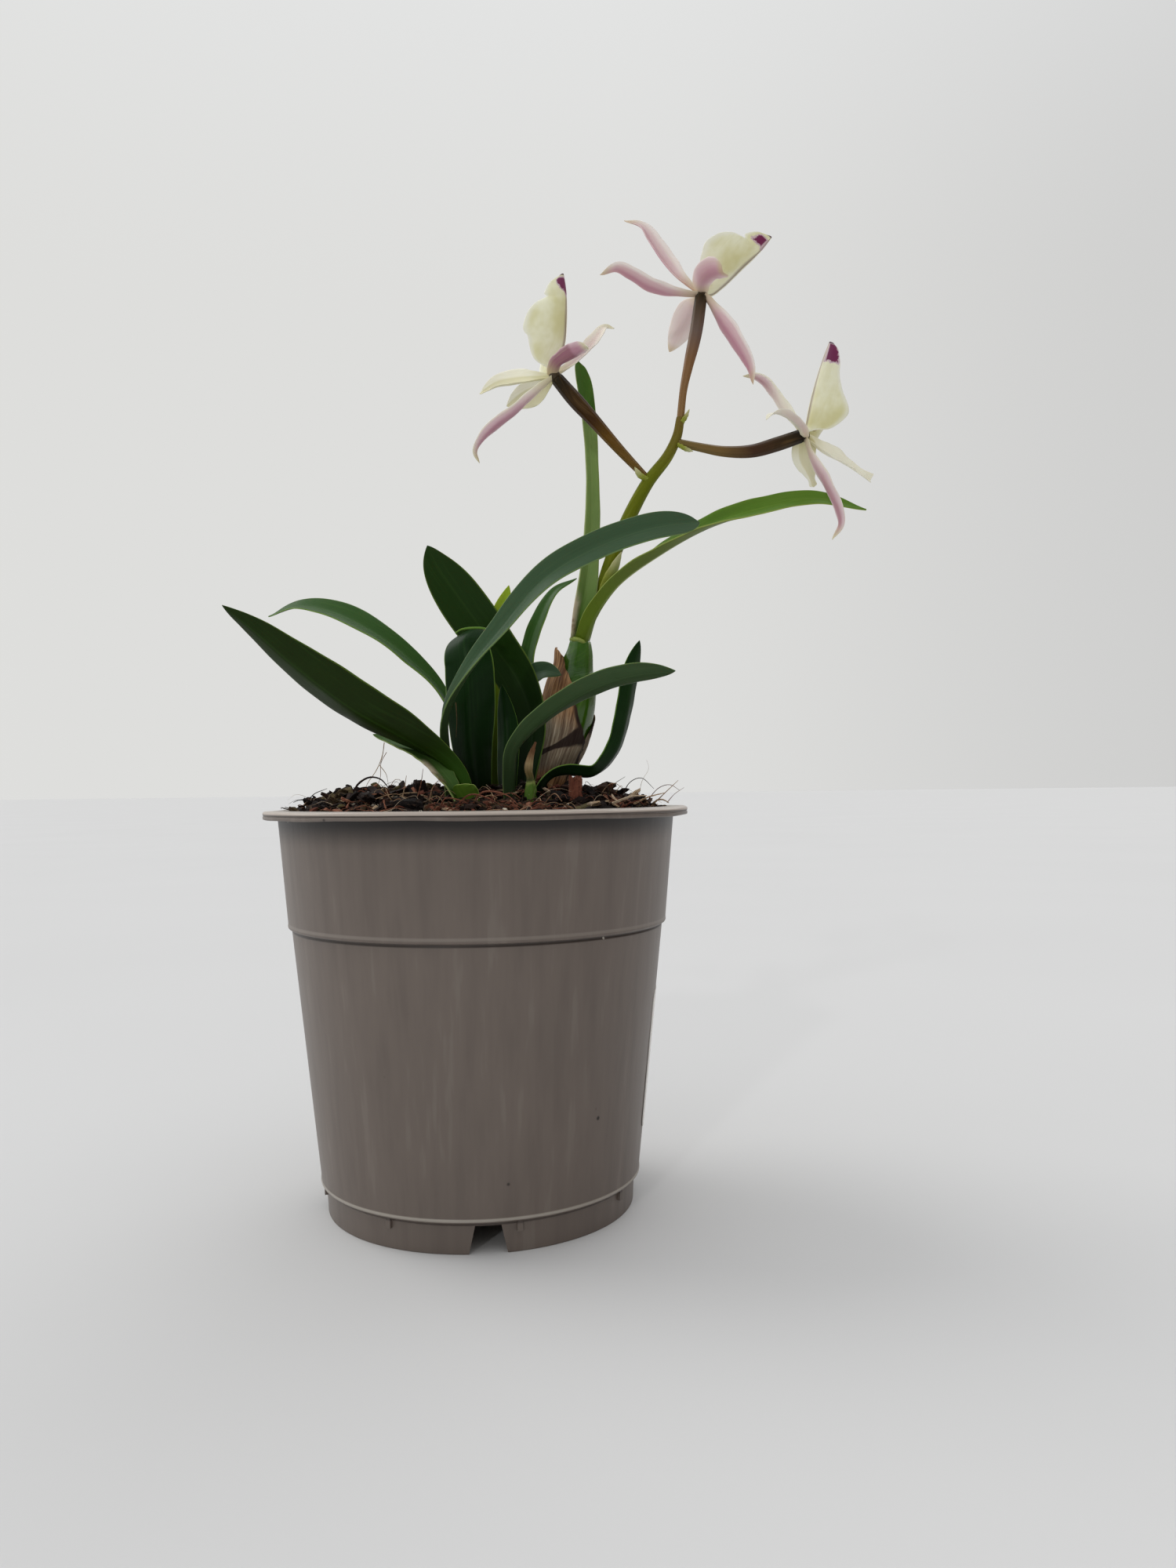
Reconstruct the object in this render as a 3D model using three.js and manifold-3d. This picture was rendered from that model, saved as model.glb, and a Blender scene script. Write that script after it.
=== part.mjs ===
// A small epiphytic orchid in flower, potted in bark in a round plastic nursery pot.
// Units are millimetres. +Z is up and +Y points away from the viewer. The origin is the middle of the
// pot's underside, on the surface that the pot stands on.

import * as THREE from "three";
import { mergeVertices } from "three/addons/utils/BufferGeometryUtils.js";
import Module from "manifold-3d";

const wasm = await Module();
wasm.setup();

// Driving dimensions
const CLEARANCE = 0.35; // gap kept between pieces that touch
const WELD = 1e-4;

const POT = {
  sides: 40,
  wall: 1.2,
  height: 111.7,
  rimRadius: 60,
  rimLipHeight: 2.2,
  rimLipThickness: 1,
  bandTopRadius: 56.1,
  bandFootRadius: 53.4,
  stepHeight: 79.3,
  stepRadius: 52.4,
  stepRun: 1,
  shoulderRadius: 45,
  shoulderHeight: 9,
  footRadius: 43.2,
  floor: 1.4,
};
const NOTCH = {
  count: 4,
  turn: 7.1,
  widthAtGround: 10.3,
  widthAtTop: 6.6,
  height: 7.4,
  wall: 1.2,
  inner: 19,
};
const DRAIN = { radius: 3, distance: 26, sides: 12 };
const NUB = { count: 8, turn: 17.5, width: 1.4, depth: 0.9, height: 2.6 };
const LABEL = { from: 80, to: 135, low: 21.5, high: 60, thickness: 0.6, steps: 10 };

const MIX = {
  edgeZ: 110.8,
  crown: 4.6,
  shoulder: 26,
  rings: 9,
  sides: 32,
  ripple: 0.6,
  chips: 40,
  seed: 41,
};
const ROOT_Z = 111; // how far down the leaf bases reach into the mix

const LEAF_STEPS = 12;
const TEPAL_STEPS = 8;

// Materials
function plastic(color) {
  return new THREE.MeshStandardMaterial({ color, roughness: 0.42, metalness: 0 });
}

function plantSkin(color, roughness = 0.5) {
  return new THREE.MeshStandardMaterial({ color, roughness, metalness: 0 });
}

const POT_PLASTIC = plastic(0x6f665e);
const LABEL_PAPER = plantSkin(0xf2f0ec, 0.7);
const BARK_DARK = plantSkin(0x2e2119, 0.95);
const BARK_RED = plantSkin(0x6d3a2a, 0.9);
const BARK_OLIVE = plantSkin(0x575038, 0.9);
const LEAF_DARK = plantSkin(0x1f3d22);
const LEAF_BLUE = plantSkin(0x2c4a38);
const LEAF_FRESH = plantSkin(0x4f7a3c);
const BULB_GREEN = plantSkin(0x3f6b2c, 0.35);
const DRY_SHEATH = plantSkin(0xa58c6d, 0.85);
const SPIKE_GREEN = plantSkin(0x6b7d22);
const OVARY_BROWN = plantSkin(0x5c4634);
const TEPAL_PINK = plantSkin(0xdcbcc4, 0.55);
const LIP_CREAM = plantSkin(0xe9e7c2, 0.5);
const COLUMN_CREAM = plantSkin(0xe4d9c4, 0.5);

// Solids
function solidFrom(positions, triangles) {
  return new wasm.Manifold(
    new wasm.Mesh({
      numProp: 3,
      vertProperties: new Float32Array(positions),
      triVerts: new Uint32Array(triangles),
    }),
  );
}

function solid(geometry) {
  const plain = geometry.clone();
  plain.deleteAttribute("normal");
  plain.deleteAttribute("uv");
  const merged = mergeVertices(plain, WELD);
  const corners = merged.index.array;
  const kept = [];
  for (let i = 0; i < corners.length; i += 3) {
    const [a, b, c] = [corners[i], corners[i + 1], corners[i + 2]];
    if (a !== b && b !== c && c !== a) kept.push(a, b, c);
  }
  return solidFrom(merged.attributes.position.array, kept);
}

function largestPiece(body) {
  const pieces = body.decompose();
  return pieces.reduce((best, piece) => (piece.volume() > best.volume() ? piece : best));
}

function fuse(bodies) {
  return bodies.reduce((whole, body) => whole.add(body));
}

function cut(body, tools) {
  return tools.reduce((rest, tool) => rest.subtract(tool), body);
}

function meshOf(name, body, material) {
  const { vertProperties, triVerts } = body.getMesh();
  const geometry = new THREE.BufferGeometry();
  geometry.setAttribute("position", new THREE.Float32BufferAttribute(vertProperties, 3));
  geometry.setIndex([...triVerts]);
  geometry.computeVertexNormals();
  const mesh = new THREE.Mesh(geometry, material);
  mesh.name = name;
  return mesh;
}

function seededRandom(seed) {
  let state = seed;
  return () => {
    state = (state + 0x6d2b79f5) | 0;
    let mixed = Math.imul(state ^ (state >>> 15), 1 | state);
    mixed = (mixed + Math.imul(mixed ^ (mixed >>> 7), 61 | mixed)) ^ mixed;
    return ((mixed ^ (mixed >>> 14)) >>> 0) / 4294967296;
  };
}

const toVectors = (points) => points.map((point) => new THREE.Vector3(...point));
const { lerp, smoothstep, degToRad } = THREE.MathUtils;

// Blades: leaves, tepals and lips
// A blade runs along a smooth spine. Its half-width grows from the root to its widest place, "peak",
// and closes to the tip. "face" lists where the upper side looks, evenly from the root to the tip, and
// "fold" is how far each half is lifted from flat, in degrees, at the root and at the tip.
function halfWidth(blade, u) {
  const { rootWidth, width, peak, tipShape = 2.2 } = blade;
  if (u < peak) return lerp(rootWidth, width, smoothstep(u, 0, peak)) / 2;
  const beyond = (u - peak) / (1 - peak);
  return Math.max(0.35, (width / 2) * (1 - beyond ** tipShape) ** 0.85);
}

function upperSide(faces, u, tangent) {
  const turn = Math.min(u * (faces.length - 1), faces.length - 1.001);
  const up = faces[Math.floor(turn)].clone().lerp(faces[Math.floor(turn) + 1], turn % 1);
  return up.addScaledVector(tangent, -up.dot(tangent)).normalize();
}

function spinePoint(curve, u, tangent, grow) {
  const beyondEnd = { 0: -grow, 1: grow }[u] ?? 0;
  return curve.getPointAt(u).addScaledVector(tangent, beyondEnd);
}

function bladeSolid(blade, steps, grow = 0) {
  const { spine, face, fold = [10, 10], thickness = 1, halves = 1, ripple = 0 } = blade;
  const curve = new THREE.CatmullRomCurve3(toVectors(spine), false, "centripetal");
  const faces = toVectors(face);
  const positions = [];
  for (let i = 0; i <= steps; i += 1) {
    const u = i / steps;
    const tangent = curve.getTangentAt(u);
    const up = upperSide(faces, u, tangent);
    const side = new THREE.Vector3().crossVectors(tangent, up);
    const half = halfWidth(blade, u) + grow;
    const bend = degToRad(lerp(fold[0], fold[1], u)) * Math.min(1, half / (2.5 * thickness));
    const middle = spinePoint(curve, u, tangent, grow);
    for (const way of [1, -1]) {
      for (let j = -halves; j <= halves; j += 1) {
        const reach = (j / halves) * half;
        const wave = ripple * (j / halves) ** 2 * Math.sin(u * Math.PI * 5 + Math.sign(j));
        const lift = Math.abs(reach) * Math.sin(bend) + wave;
        const skin = way * (thickness / 2 + grow);
        const point = middle
          .clone()
          .addScaledVector(side, reach * Math.cos(bend) - Math.sign(j) * skin * Math.sin(bend))
          .addScaledVector(up, lift + skin * Math.cos(bend));
        positions.push(point.x, point.y, point.z);
      }
    }
  }
  return solidFrom(positions, bladeTriangles(steps, 2 * halves + 1));
}

function bladeTriangles(steps, columns) {
  const triangles = [];
  const top = (i, j) => i * 2 * columns + j;
  const under = (i, j) => top(i, j) + columns;
  const quad = (a, b, c, d) => triangles.push(a, b, c, a, c, d);
  for (let j = 0; j < columns - 1; j += 1) {
    for (let i = 0; i < steps; i += 1) {
      quad(top(i, j), top(i, j + 1), top(i + 1, j + 1), top(i + 1, j));
      triangles.push(under(i, j), under(i + 1, j + 1), under(i, j + 1));
      triangles.push(under(i, j), under(i + 1, j), under(i + 1, j + 1));
    }
    quad(top(0, j), under(0, j), under(0, j + 1), top(0, j + 1));
    quad(top(steps, j), top(steps, j + 1), under(steps, j + 1), under(steps, j));
  }
  const last = columns - 1;
  for (let i = 0; i < steps; i += 1) {
    quad(under(i, 0), top(i, 0), top(i + 1, 0), under(i + 1, 0));
    quad(top(i, last), under(i, last), under(i + 1, last), top(i + 1, last));
  }
  return triangles;
}

// Round stems, bulbs and fruit stalks
// "radii" are spread evenly along the spine.
function stemSolid({ spine, radii, steps, sides }, grow = 0) {
  const curve = new THREE.CatmullRomCurve3(toVectors(spine), false, "centripetal");
  const size = new THREE.CatmullRomCurve3(radii.map((r, i) => new THREE.Vector3(i, r, 0)));
  const positions = [];
  const side = new THREE.Vector3(1, 0, 0);
  for (let i = 0; i <= steps; i += 1) {
    const u = i / steps;
    const tangent = curve.getTangentAt(u);
    side.addScaledVector(tangent, -side.dot(tangent)).normalize();
    const across = new THREE.Vector3().crossVectors(tangent, side);
    const radius = size.getPoint(u).y + grow;
    const middle = spinePoint(curve, u, tangent, grow);
    for (let k = 0; k < sides; k += 1) {
      const angle = (k / sides) * 2 * Math.PI;
      const point = middle
        .clone()
        .addScaledVector(side, radius * Math.cos(angle))
        .addScaledVector(across, radius * Math.sin(angle));
      positions.push(point.x, point.y, point.z);
    }
  }
  return solidFrom(positions, stemTriangles(steps, sides));
}

function stemTriangles(steps, sides) {
  const triangles = [];
  for (let k = 0; k < sides; k += 1) {
    const next = (k + 1) % sides;
    for (let i = 0; i < steps; i += 1) {
      const low = i * sides;
      const high = low + sides;
      triangles.push(low + k, low + next, high + next, low + k, high + next, high + k);
    }
    if (k > 0 && next > 0) {
      triangles.push(0, next, k);
      triangles.push(steps * sides, steps * sides + k, steps * sides + next);
    }
  }
  return triangles;
}

// Pot
function wallRadius(z) {
  const { shoulderHeight, shoulderRadius, stepHeight, stepRadius } = POT;
  return lerp(shoulderRadius, stepRadius, (z - shoulderHeight) / (stepHeight - shoulderHeight));
}

function latheSolid(profile, sides) {
  const points = profile.map(([radius, z]) => new THREE.Vector2(radius, z));
  return solid(new THREE.LatheGeometry(points, sides).rotateX(Math.PI / 2));
}

// The inside of the pot, from the middle of the floor to the top of its straight band, set in by "inset".
function innerProfile(inset, lift = 0) {
  const { stepHeight, stepRun, stepRadius, bandFootRadius } = POT;
  const { shoulderRadius, shoulderHeight, footRadius, floor } = POT;
  return [
    [0, floor + lift],
    [footRadius - inset - 0.2, floor + lift],
    [footRadius - inset, shoulderHeight - 1.2 + lift],
    [shoulderRadius - inset, shoulderHeight + 1.2 + lift],
    [stepRadius - inset, stepHeight - stepRun + lift],
    [bandFootRadius - inset, stepHeight + stepRun + lift],
  ];
}

function potShell() {
  const { wall, height, rimRadius, rimLipHeight, rimLipThickness, stepRun } = POT;
  const { bandTopRadius, bandFootRadius, stepHeight, stepRadius } = POT;
  const { shoulderRadius, shoulderHeight, footRadius } = POT;
  const outside = [
    [0, 0],
    [footRadius, 0],
    [footRadius + 0.4, shoulderHeight - 1.6],
    [shoulderRadius - 0.5, shoulderHeight - 0.8],
    [shoulderRadius, shoulderHeight],
    [stepRadius, stepHeight - stepRun],
    [bandFootRadius, stepHeight + stepRun],
    [bandTopRadius, height - rimLipThickness],
    [rimRadius - rimLipThickness, height - rimLipThickness],
    [rimRadius - rimLipThickness, height - rimLipHeight],
    [rimRadius, height - rimLipHeight],
    [rimRadius, height - 0.4],
    [rimRadius - 0.5, height],
  ];
  const inside = innerProfile(wall).reverse();
  return latheSolid([...outside, [bandTopRadius - wall, height], ...inside, [0, 0]], POT.sides);
}

// A drain channel is a trapezoid prism that runs out from near the middle through a notch in the foot.
function channelSolid(index, outer, grow) {
  const { turn, count, widthAtGround, widthAtTop, height, inner } = NOTCH;
  const low = widthAtGround / 2 + grow;
  const high = widthAtTop / 2 + grow;
  const outline = new THREE.Shape([
    new THREE.Vector2(-low, -grow),
    new THREE.Vector2(low, -grow),
    new THREE.Vector2(high, height + grow),
    new THREE.Vector2(-high, height + grow),
  ]);
  const start = inner - grow;
  const geometry = new THREE.ExtrudeGeometry(outline, { depth: outer - start, bevelEnabled: false });
  geometry.translate(0, 0, start);
  geometry.rotateX(Math.PI / 2);
  geometry.rotateZ(degToRad(turn + (index * 360) / count));
  return solid(geometry);
}

function ringOf(count, make) {
  return Array.from({ length: count }, (_, index) => make(index));
}

function aboveGround(body) {
  const slab = new THREE.BoxGeometry(200, 200, 40).translate(0, 0, -20);
  return body.subtract(solid(slab));
}

function drainHole(index) {
  const hole = new THREE.CylinderGeometry(DRAIN.radius, DRAIN.radius, 8, DRAIN.sides);
  hole.rotateX(Math.PI / 2);
  hole.translate(0, -DRAIN.distance, NOTCH.height);
  hole.rotateZ(degToRad(NOTCH.turn + (index * 360) / NOTCH.count));
  return solid(hole);
}

function stackingNub(index) {
  const nub = new THREE.BoxGeometry(NUB.width, NUB.depth * 2, NUB.height);
  nub.translate(0, -POT.footRadius - 0.3, POT.shoulderHeight - 0.9 - NUB.height / 2);
  nub.rotateZ(degToRad(NUB.turn + (index * 360) / NUB.count));
  return solid(nub);
}

function potSolid() {
  const { count, wall } = NOTCH;
  const roofs = ringOf(count, (i) => aboveGround(channelSolid(i, POT.footRadius - 0.4, wall)));
  const tunnels = ringOf(count, (i) => channelSolid(i, POT.rimRadius, 0));
  const belowGround = ringOf(count, (i) => channelSolid(i, POT.rimRadius, 0).translate([0, 0, -1]));
  const holes = ringOf(count, drainHole);
  const nubs = ringOf(NUB.count, stackingNub);
  return cut(fuse([potShell(), ...roofs, ...nubs]), [...tunnels, ...belowGround, ...holes]);
}

// The blank sticker follows the tapered wall on the right.
function labelSolid() {
  const { from, to, low, high, thickness, steps } = LABEL;
  const positions = [];
  for (let i = 0; i <= steps; i += 1) {
    const angle = degToRad(lerp(from, to, i / steps));
    const facetFit = 1 / Math.cos(Math.PI / POT.sides);
    for (const [z, skin] of [
      [low, CLEARANCE],
      [high, CLEARANCE],
      [high, CLEARANCE + thickness],
      [low, CLEARANCE + thickness],
    ]) {
      const radius = (wallRadius(z) + skin) * (skin > CLEARANCE ? facetFit : 1);
      positions.push(radius * Math.sin(angle), -radius * Math.cos(angle), z);
    }
  }
  const triangles = [];
  for (let i = 0; i < steps; i += 1) {
    for (let k = 0; k < 4; k += 1) {
      const a = i * 4 + k;
      const b = i * 4 + ((k + 1) % 4);
      triangles.push(a, b, b + 4, a, b + 4, a + 4);
    }
  }
  const end = steps * 4;
  triangles.push(0, 2, 1, 0, 3, 2);
  triangles.push(end, end + 1, end + 2, end, end + 2, end + 3);
  return solidFrom(positions, triangles);
}

// Growing mix
function moundHeight(x, y) {
  const fromEdge = POT.bandTopRadius - Math.hypot(x, y);
  const mound = MIX.edgeZ + MIX.crown * smoothstep(fromEdge, 0, MIX.shoulder);
  const ripple = Math.sin(x * 0.42 + 1.3) * Math.cos(y * 0.37) + Math.sin((x + y) * 0.71);
  return mound + MIX.ripple * ripple * smoothstep(fromEdge, 1, 8);
}

function mixBody() {
  const gap = POT.wall + CLEARANCE / Math.cos(Math.PI / MIX.sides) + 0.25;
  const walls = innerProfile(gap, CLEARANCE);
  const edge = POT.bandTopRadius - gap;
  const top = Array.from({ length: MIX.rings }, (_, k) => [edge * (1 - k / (MIX.rings - 1)), POT.height]);
  const points = [...walls, ...top].map(([radius, z]) => new THREE.Vector2(radius, z));
  const geometry = new THREE.LatheGeometry(points, MIX.sides).rotateX(Math.PI / 2);
  const place = geometry.attributes.position;
  for (let i = 0; i < place.count; i += 1) {
    if (place.getZ(i) > POT.height - 0.01) place.setZ(i, moundHeight(place.getX(i), place.getY(i)));
  }
  const channels = ringOf(NOTCH.count, (i) =>
    channelSolid(i, POT.footRadius + 1, NOTCH.wall + CLEARANCE),
  );
  return cut(solid(geometry), channels);
}

function barkChip(length, width, height, shear) {
  const geometry = new THREE.BoxGeometry(length, width, height);
  const place = geometry.attributes.position;
  for (let i = 0; i < place.count; i += 1) {
    const taper = place.getX(i) > 0 ? 0.72 : 1;
    place.setY(i, place.getY(i) * taper + place.getZ(i) * shear);
    place.setZ(i, place.getZ(i) * taper);
  }
  return geometry;
}

function chippedMix() {
  const random = seededRandom(MIX.seed);
  const between = (low, high) => lerp(low, high, random());
  const chips = [];
  for (let i = 0; i < MIX.chips; i += 1) {
    const distance = 50 * Math.sqrt(random());
    const angle = random() * 2 * Math.PI;
    const chip = barkChip(between(5, 10), between(2.6, 5), between(1.6, 3.2), between(-0.4, 0.4));
    chip.rotateX(between(-0.6, 0.6));
    chip.rotateY(between(-0.5, 0.5));
    chip.rotateZ(random() * 2 * Math.PI);
    const x = distance * Math.cos(angle);
    const y = distance * Math.sin(angle);
    chip.translate(x, y, moundHeight(x, y) + between(-0.3, 0.7));
    chips.push(solid(chip));
  }
  const inPot = latheSolid(
    [
      [0, 90],
      [POT.bandFootRadius - 2, 90],
      [POT.bandTopRadius - 2.2, 112],
      [POT.bandTopRadius - 2.2, 125],
      [0, 125],
    ],
    MIX.sides,
  );
  return mixBody().add(fuse(chips).intersect(inPot));
}

// Loose pieces of bark that stand out of the mix
const ACCENT_CHIPS = [
  { name: "bark_stub", at: [28, -20, 114.2], size: [4.6, 3, 9],
    tilt: [0.1, 0.06, 0.3], material: BARK_RED },
  { name: "bark_chip_upright", at: [-14.5, -12, 115], size: [3.4, 2.6, 8],
    tilt: [0.1, -0.3, 0.5], material: BARK_DARK },
  { name: "bark_chip_olive", at: [-37, -15, 114], size: [8.5, 6, 3],
    tilt: [0.35, -0.35, 0.2], material: BARK_OLIVE },
];

function accentChip({ at, size, tilt }, grow = 0) {
  const chip = barkChip(...size.map((side) => side + 2 * grow), 0.15);
  chip.rotateX(tilt[0]);
  chip.rotateY(tilt[1]);
  chip.rotateZ(tilt[2]);
  chip.translate(...at);
  return solid(chip);
}

// Leaves
const LEAVES = {
  leaf_front_left: {
    spine: [[-2, -21.5, ROOT_Z], [-2.5, -22, 118], [-6, -24, 123.5], [-15, -30, 130], [-28.5, -36, 138],
      [-42.5, -40, 149], [-52, -42, 157.5], [-60, -43, 164]],
    face: [[0.5, 0.8, 0.2], [0.3, 0.8, 0.5], [0.1, 0.8, 0.6]],
    fold: [40, 20], rootWidth: 5, width: 15.5, peak: 0.52, tipShape: 1.7, halves: 2, material: LEAF_DARK,
  },
  leaf_front_short: {
    spine: [[-2, -27.5, ROOT_Z + 1], [-4.5, -28, 118], [-9.5, -28.4, 121.5], [-17.5, -28, 126],
      [-27, -28, 131]],
    face: [[0.4, 0.2, 0.9], [0.2, 0.5, 0.85]],
    fold: [35, 14], rootWidth: 4, width: 7, peak: 0.5, material: LEAF_FRESH,
  },
  leaf_back_left: {
    spine: [[-2.5, 3, ROOT_Z], [-2.5, 3, 118.5], [-4.5, 4, 130], [-11.5, 8, 145.5], [-21.5, 10, 156],
      [-33, 11, 164.5], [-45, 13, 170.5], [-55, 15, 172.5], [-64.5, 17, 170]],
    face: [[1, 0.2, 0.3], [0, -0.5, 1], [0, -0.5, 1]],
    fold: [35, 12], rootWidth: 4.5, width: 12, peak: 0.6, tipShape: 1.7, halves: 2, material: LEAF_DARK,
  },
  leaf_centre_tall: {
    spine: [[14, -1, ROOT_Z], [14, -1, 119.5], [16, -0.5, 134], [12.4, -1.5, 147], [5.4, -2, 157.5],
      [-4.4, -4, 171.5], [-10.4, -6, 180.5], [-13, -7, 186]],
    face: [[-0.2, -1, 0.1], [-0.2, -1, 0.35]],
    fold: [38, 8], rootWidth: 7, width: 14, peak: 0.66, tipShape: 3.4, halves: 2, material: LEAF_DARK,
  },
  leaf_centre_front: {
    spine: [[1, -12, ROOT_Z], [0.5, -12.5, 117.5], [-0.5, -14, 129], [-0.5, -17, 142], [0, -18, 152],
      [0.6, -16, 159.2], [4, -12.5, 163], [8, -11, 161.4]],
    face: [[0, 1, 0.1], [0, 1, 0.1], [0.3, 0.2, -1]],
    fold: [40, 14], rootWidth: 9.5, width: 15, peak: 0.5, tipShape: 2.6, halves: 2, material: LEAF_DARK,
  },
  leaf_centre_inner: {
    spine: [[8.6, -7, ROOT_Z], [8.6, -7, 120], [9, -7, 133], [7.6, -6.2, 146.5]],
    face: [[0.2, 1, 0.1], [0.2, 1, 0.1]],
    fold: [35, 15], rootWidth: 5.5, width: 7, peak: 0.5, material: LEAF_DARK,
  },
  leaf_right_arch: {
    spine: [[-5.8, -15, ROOT_Z], [-6, -15.4, 118], [-6.6, -18.5, 128], [-6, -24, 137], [-1, -28, 146],
      [9, -30, 158.2], [21, -30, 171.8], [34.5, -28.5, 180], [49, -26.5, 186], [62.5, -23, 188.8]],
    face: [[-0.9, 0.4, 0], [-0.6, -0.5, 0.5], [-0.25, -0.85, 0.5], [-0.1, -0.85, 0.5]],
    fold: [38, 12], rootWidth: 4, width: 10, peak: 0.74, tipShape: 5, halves: 2, material: LEAF_BLUE,
  },
  leaf_back_mid: {
    spine: [[13, 12, ROOT_Z], [13, 12, 118.5], [13.5, 12.5, 142], [14.5, 12.5, 156.5], [18, 12.5, 168],
      [22.5, 13, 176], [29, 14, 180]],
    face: [[-1, -0.3, 0], [-0.6, -0.6, 0.4], [-0.3, -0.7, 0.7]],
    fold: [30, 12], rootWidth: 4, width: 7, peak: 0.6, material: LEAF_DARK,
  },
  leaf_back_tip: {
    spine: [[5, 9, ROOT_Z], [5, 9, 118.5], [5.5, 9.5, 146.5], [6, 8.5, 164.5], [9, 7.5, 177]],
    face: [[-0.2, -1, 0], [-0.3, -1, 0.3]],
    fold: [30, 14], rootWidth: 4, width: 8, peak: 0.7, tipShape: 2.6, material: LEAF_FRESH,
  },
  leaf_right_low: {
    spine: [[11, -17.5, ROOT_Z], [11, -18, 119], [12, -20, 127.5], [19.5, -23, 135.5], [32, -26, 143],
      [43, -28, 146.5], [55, -30, 147.5]],
    face: [[-0.8, 0.5, 0.3], [-0.1, 0.7, 0.7]],
    fold: [35, 14], rootWidth: 5, width: 8, peak: 0.6, tipShape: 2.4, halves: 2, material: LEAF_BLUE,
  },
  leaf_right_twist: {
    spine: [[17.5, -10, ROOT_Z], [18.5, -9.5, 117], [21.5, -8, 120.5], [26, -6.5, 121.5], [33, -4, 121],
      [39.5, 0, 127.5], [43, 2.6, 139], [44.8, 4, 150], [47.2, 5, 160]],
    face: [[-0.3, 0.3, 0.9], [-0.3, 0.5, 0.8], [-1, 0.7, 0.2], [-0.7, 0.9, 0]],
    fold: [30, 10], rootWidth: 4, width: 6.6, peak: 0.7, tipShape: 2.8, material: LEAF_DARK,
  },
  leaf_small_mid: {
    spine: [[12.5, 5, ROOT_Z], [12.5, 5, 119.5], [12.8, 5, 142], [14.6, 3.6, 148.6], [19.2, 0.6, 150.8],
      [24.4, -2.6, 149.4]],
    face: [[-0.8, 0.2, 0], [0.1, -1, 0.35]],
    fold: [30, 12], rootWidth: 3.5, width: 7.4, peak: 0.7, tipShape: 2.8, material: LEAF_BLUE,
  },
  leaf_top_upright: {
    spine: [[28, 7.4, 160.8], [28.4, 8, 167], [30.4, 8.8, 176], [32.2, 10, 184.5], [33.6, 12, 202.5],
      [33.2, 14, 222], [31.8, 15, 236.5], [30, 16, 246]],
    face: [[0.6, -0.8, 0], [0.6, -1, 0], [0.6, -1, 0], [0.6, -1, 0]],
    fold: [38, 20], rootWidth: 4.4, width: 7, peak: 0.17, tipShape: 2.4, halves: 2, material: LEAF_FRESH,
  },
  leaf_top_arch: {
    spine: [[32.5, 6.2, 160.8], [35.2, 4.8, 168], [41.5, 3.6, 176.7], [53.2, 3, 185], [66.7, 3.2, 192.6],
      [82.9, 4.6, 198.4], [99.6, 6, 200.9], [114.5, 7, 198]],
    face: [[-0.8, 0.6, 0.2], [-0.5, -0.3, 0.8], [0, -0.6, 0.8], [0, -0.6, 0.8]],
    fold: [42, 14], rootWidth: 4.6, width: 9.8, peak: 0.45, tipShape: 1.7, halves: 2, material: LEAF_FRESH,
  },
};

function leafSolid(name, grow = 0) {
  return bladeSolid(LEAVES[name], LEAF_STEPS, grow);
}

// Bulbs, sheaths and the young shoot
const MAIN_BULB = {
  spine: [[18.6, 7, ROOT_Z + 2], [21.2, 7, 122], [24, 7.5, 131], [25.8, 7.5, 141], [27.6, 8, 150],
    [29.4, 8, 156.5], [29.9, 8, 160.1]],
  radii: [3.2, 4.5, 5.8, 6.8, 7.3, 6.7, 4.6, 3.1],
  steps: 12,
  sides: 14,
};
const PAPER_SKIN = 0.7;
const BACK_BULB = {
  spine: [[20, 22, ROOT_Z + 2], [20, 23, 125], [21, 25, 138], [22, 26, 147]],
  radii: [3.2, 5.6, 5.6, 3.4, 1.4],
  steps: 9,
  sides: 12,
};
const YOUNG_SHOOT = {
  spine: [[16.5, -16, ROOT_Z], [16.8, -16, 119], [17, -16.5, 128]],
  radii: [2, 1.9, 1.5, 0.8],
  steps: 6,
  sides: 8,
};
const FRONT_SHEATH = {
  spine: [[2, -26.4, ROOT_Z + 1], [1.6, -27, 116], [-0.4, -29.2, 121.5]],
  face: [[0, 1, 0.3], [0.5, 1, 0.6]],
  fold: [48, 40], rootWidth: 7.5, width: 9, peak: 0.5, thickness: 1, halves: 2,
};

function mainBulb(grow = 0) {
  return stemSolid(MAIN_BULB, grow);
}

// The papery sheath wraps the left side of the flowering bulb and all of its foot.
function paperSheath() {
  const shell = mainBulb(CLEARANCE + PAPER_SKIN).subtract(mainBulb(CLEARANCE));
  const leftSide = new THREE.BoxGeometry(30, 40, 50).translate(11, 8, 140);
  const foot = new THREE.BoxGeometry(60, 40, 30).translate(0, 0, -15);
  foot.rotateY(degToRad(-38)).translate(25, 8, 131);
  const cover = solid(leftSide).add(solid(foot));
  const overMix = new THREE.BoxGeometry(60, 40, 60).translate(24, 8, ROOT_Z + 34);
  return largestPiece(shell.intersect(cover).intersect(solid(overMix)));
}

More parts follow.
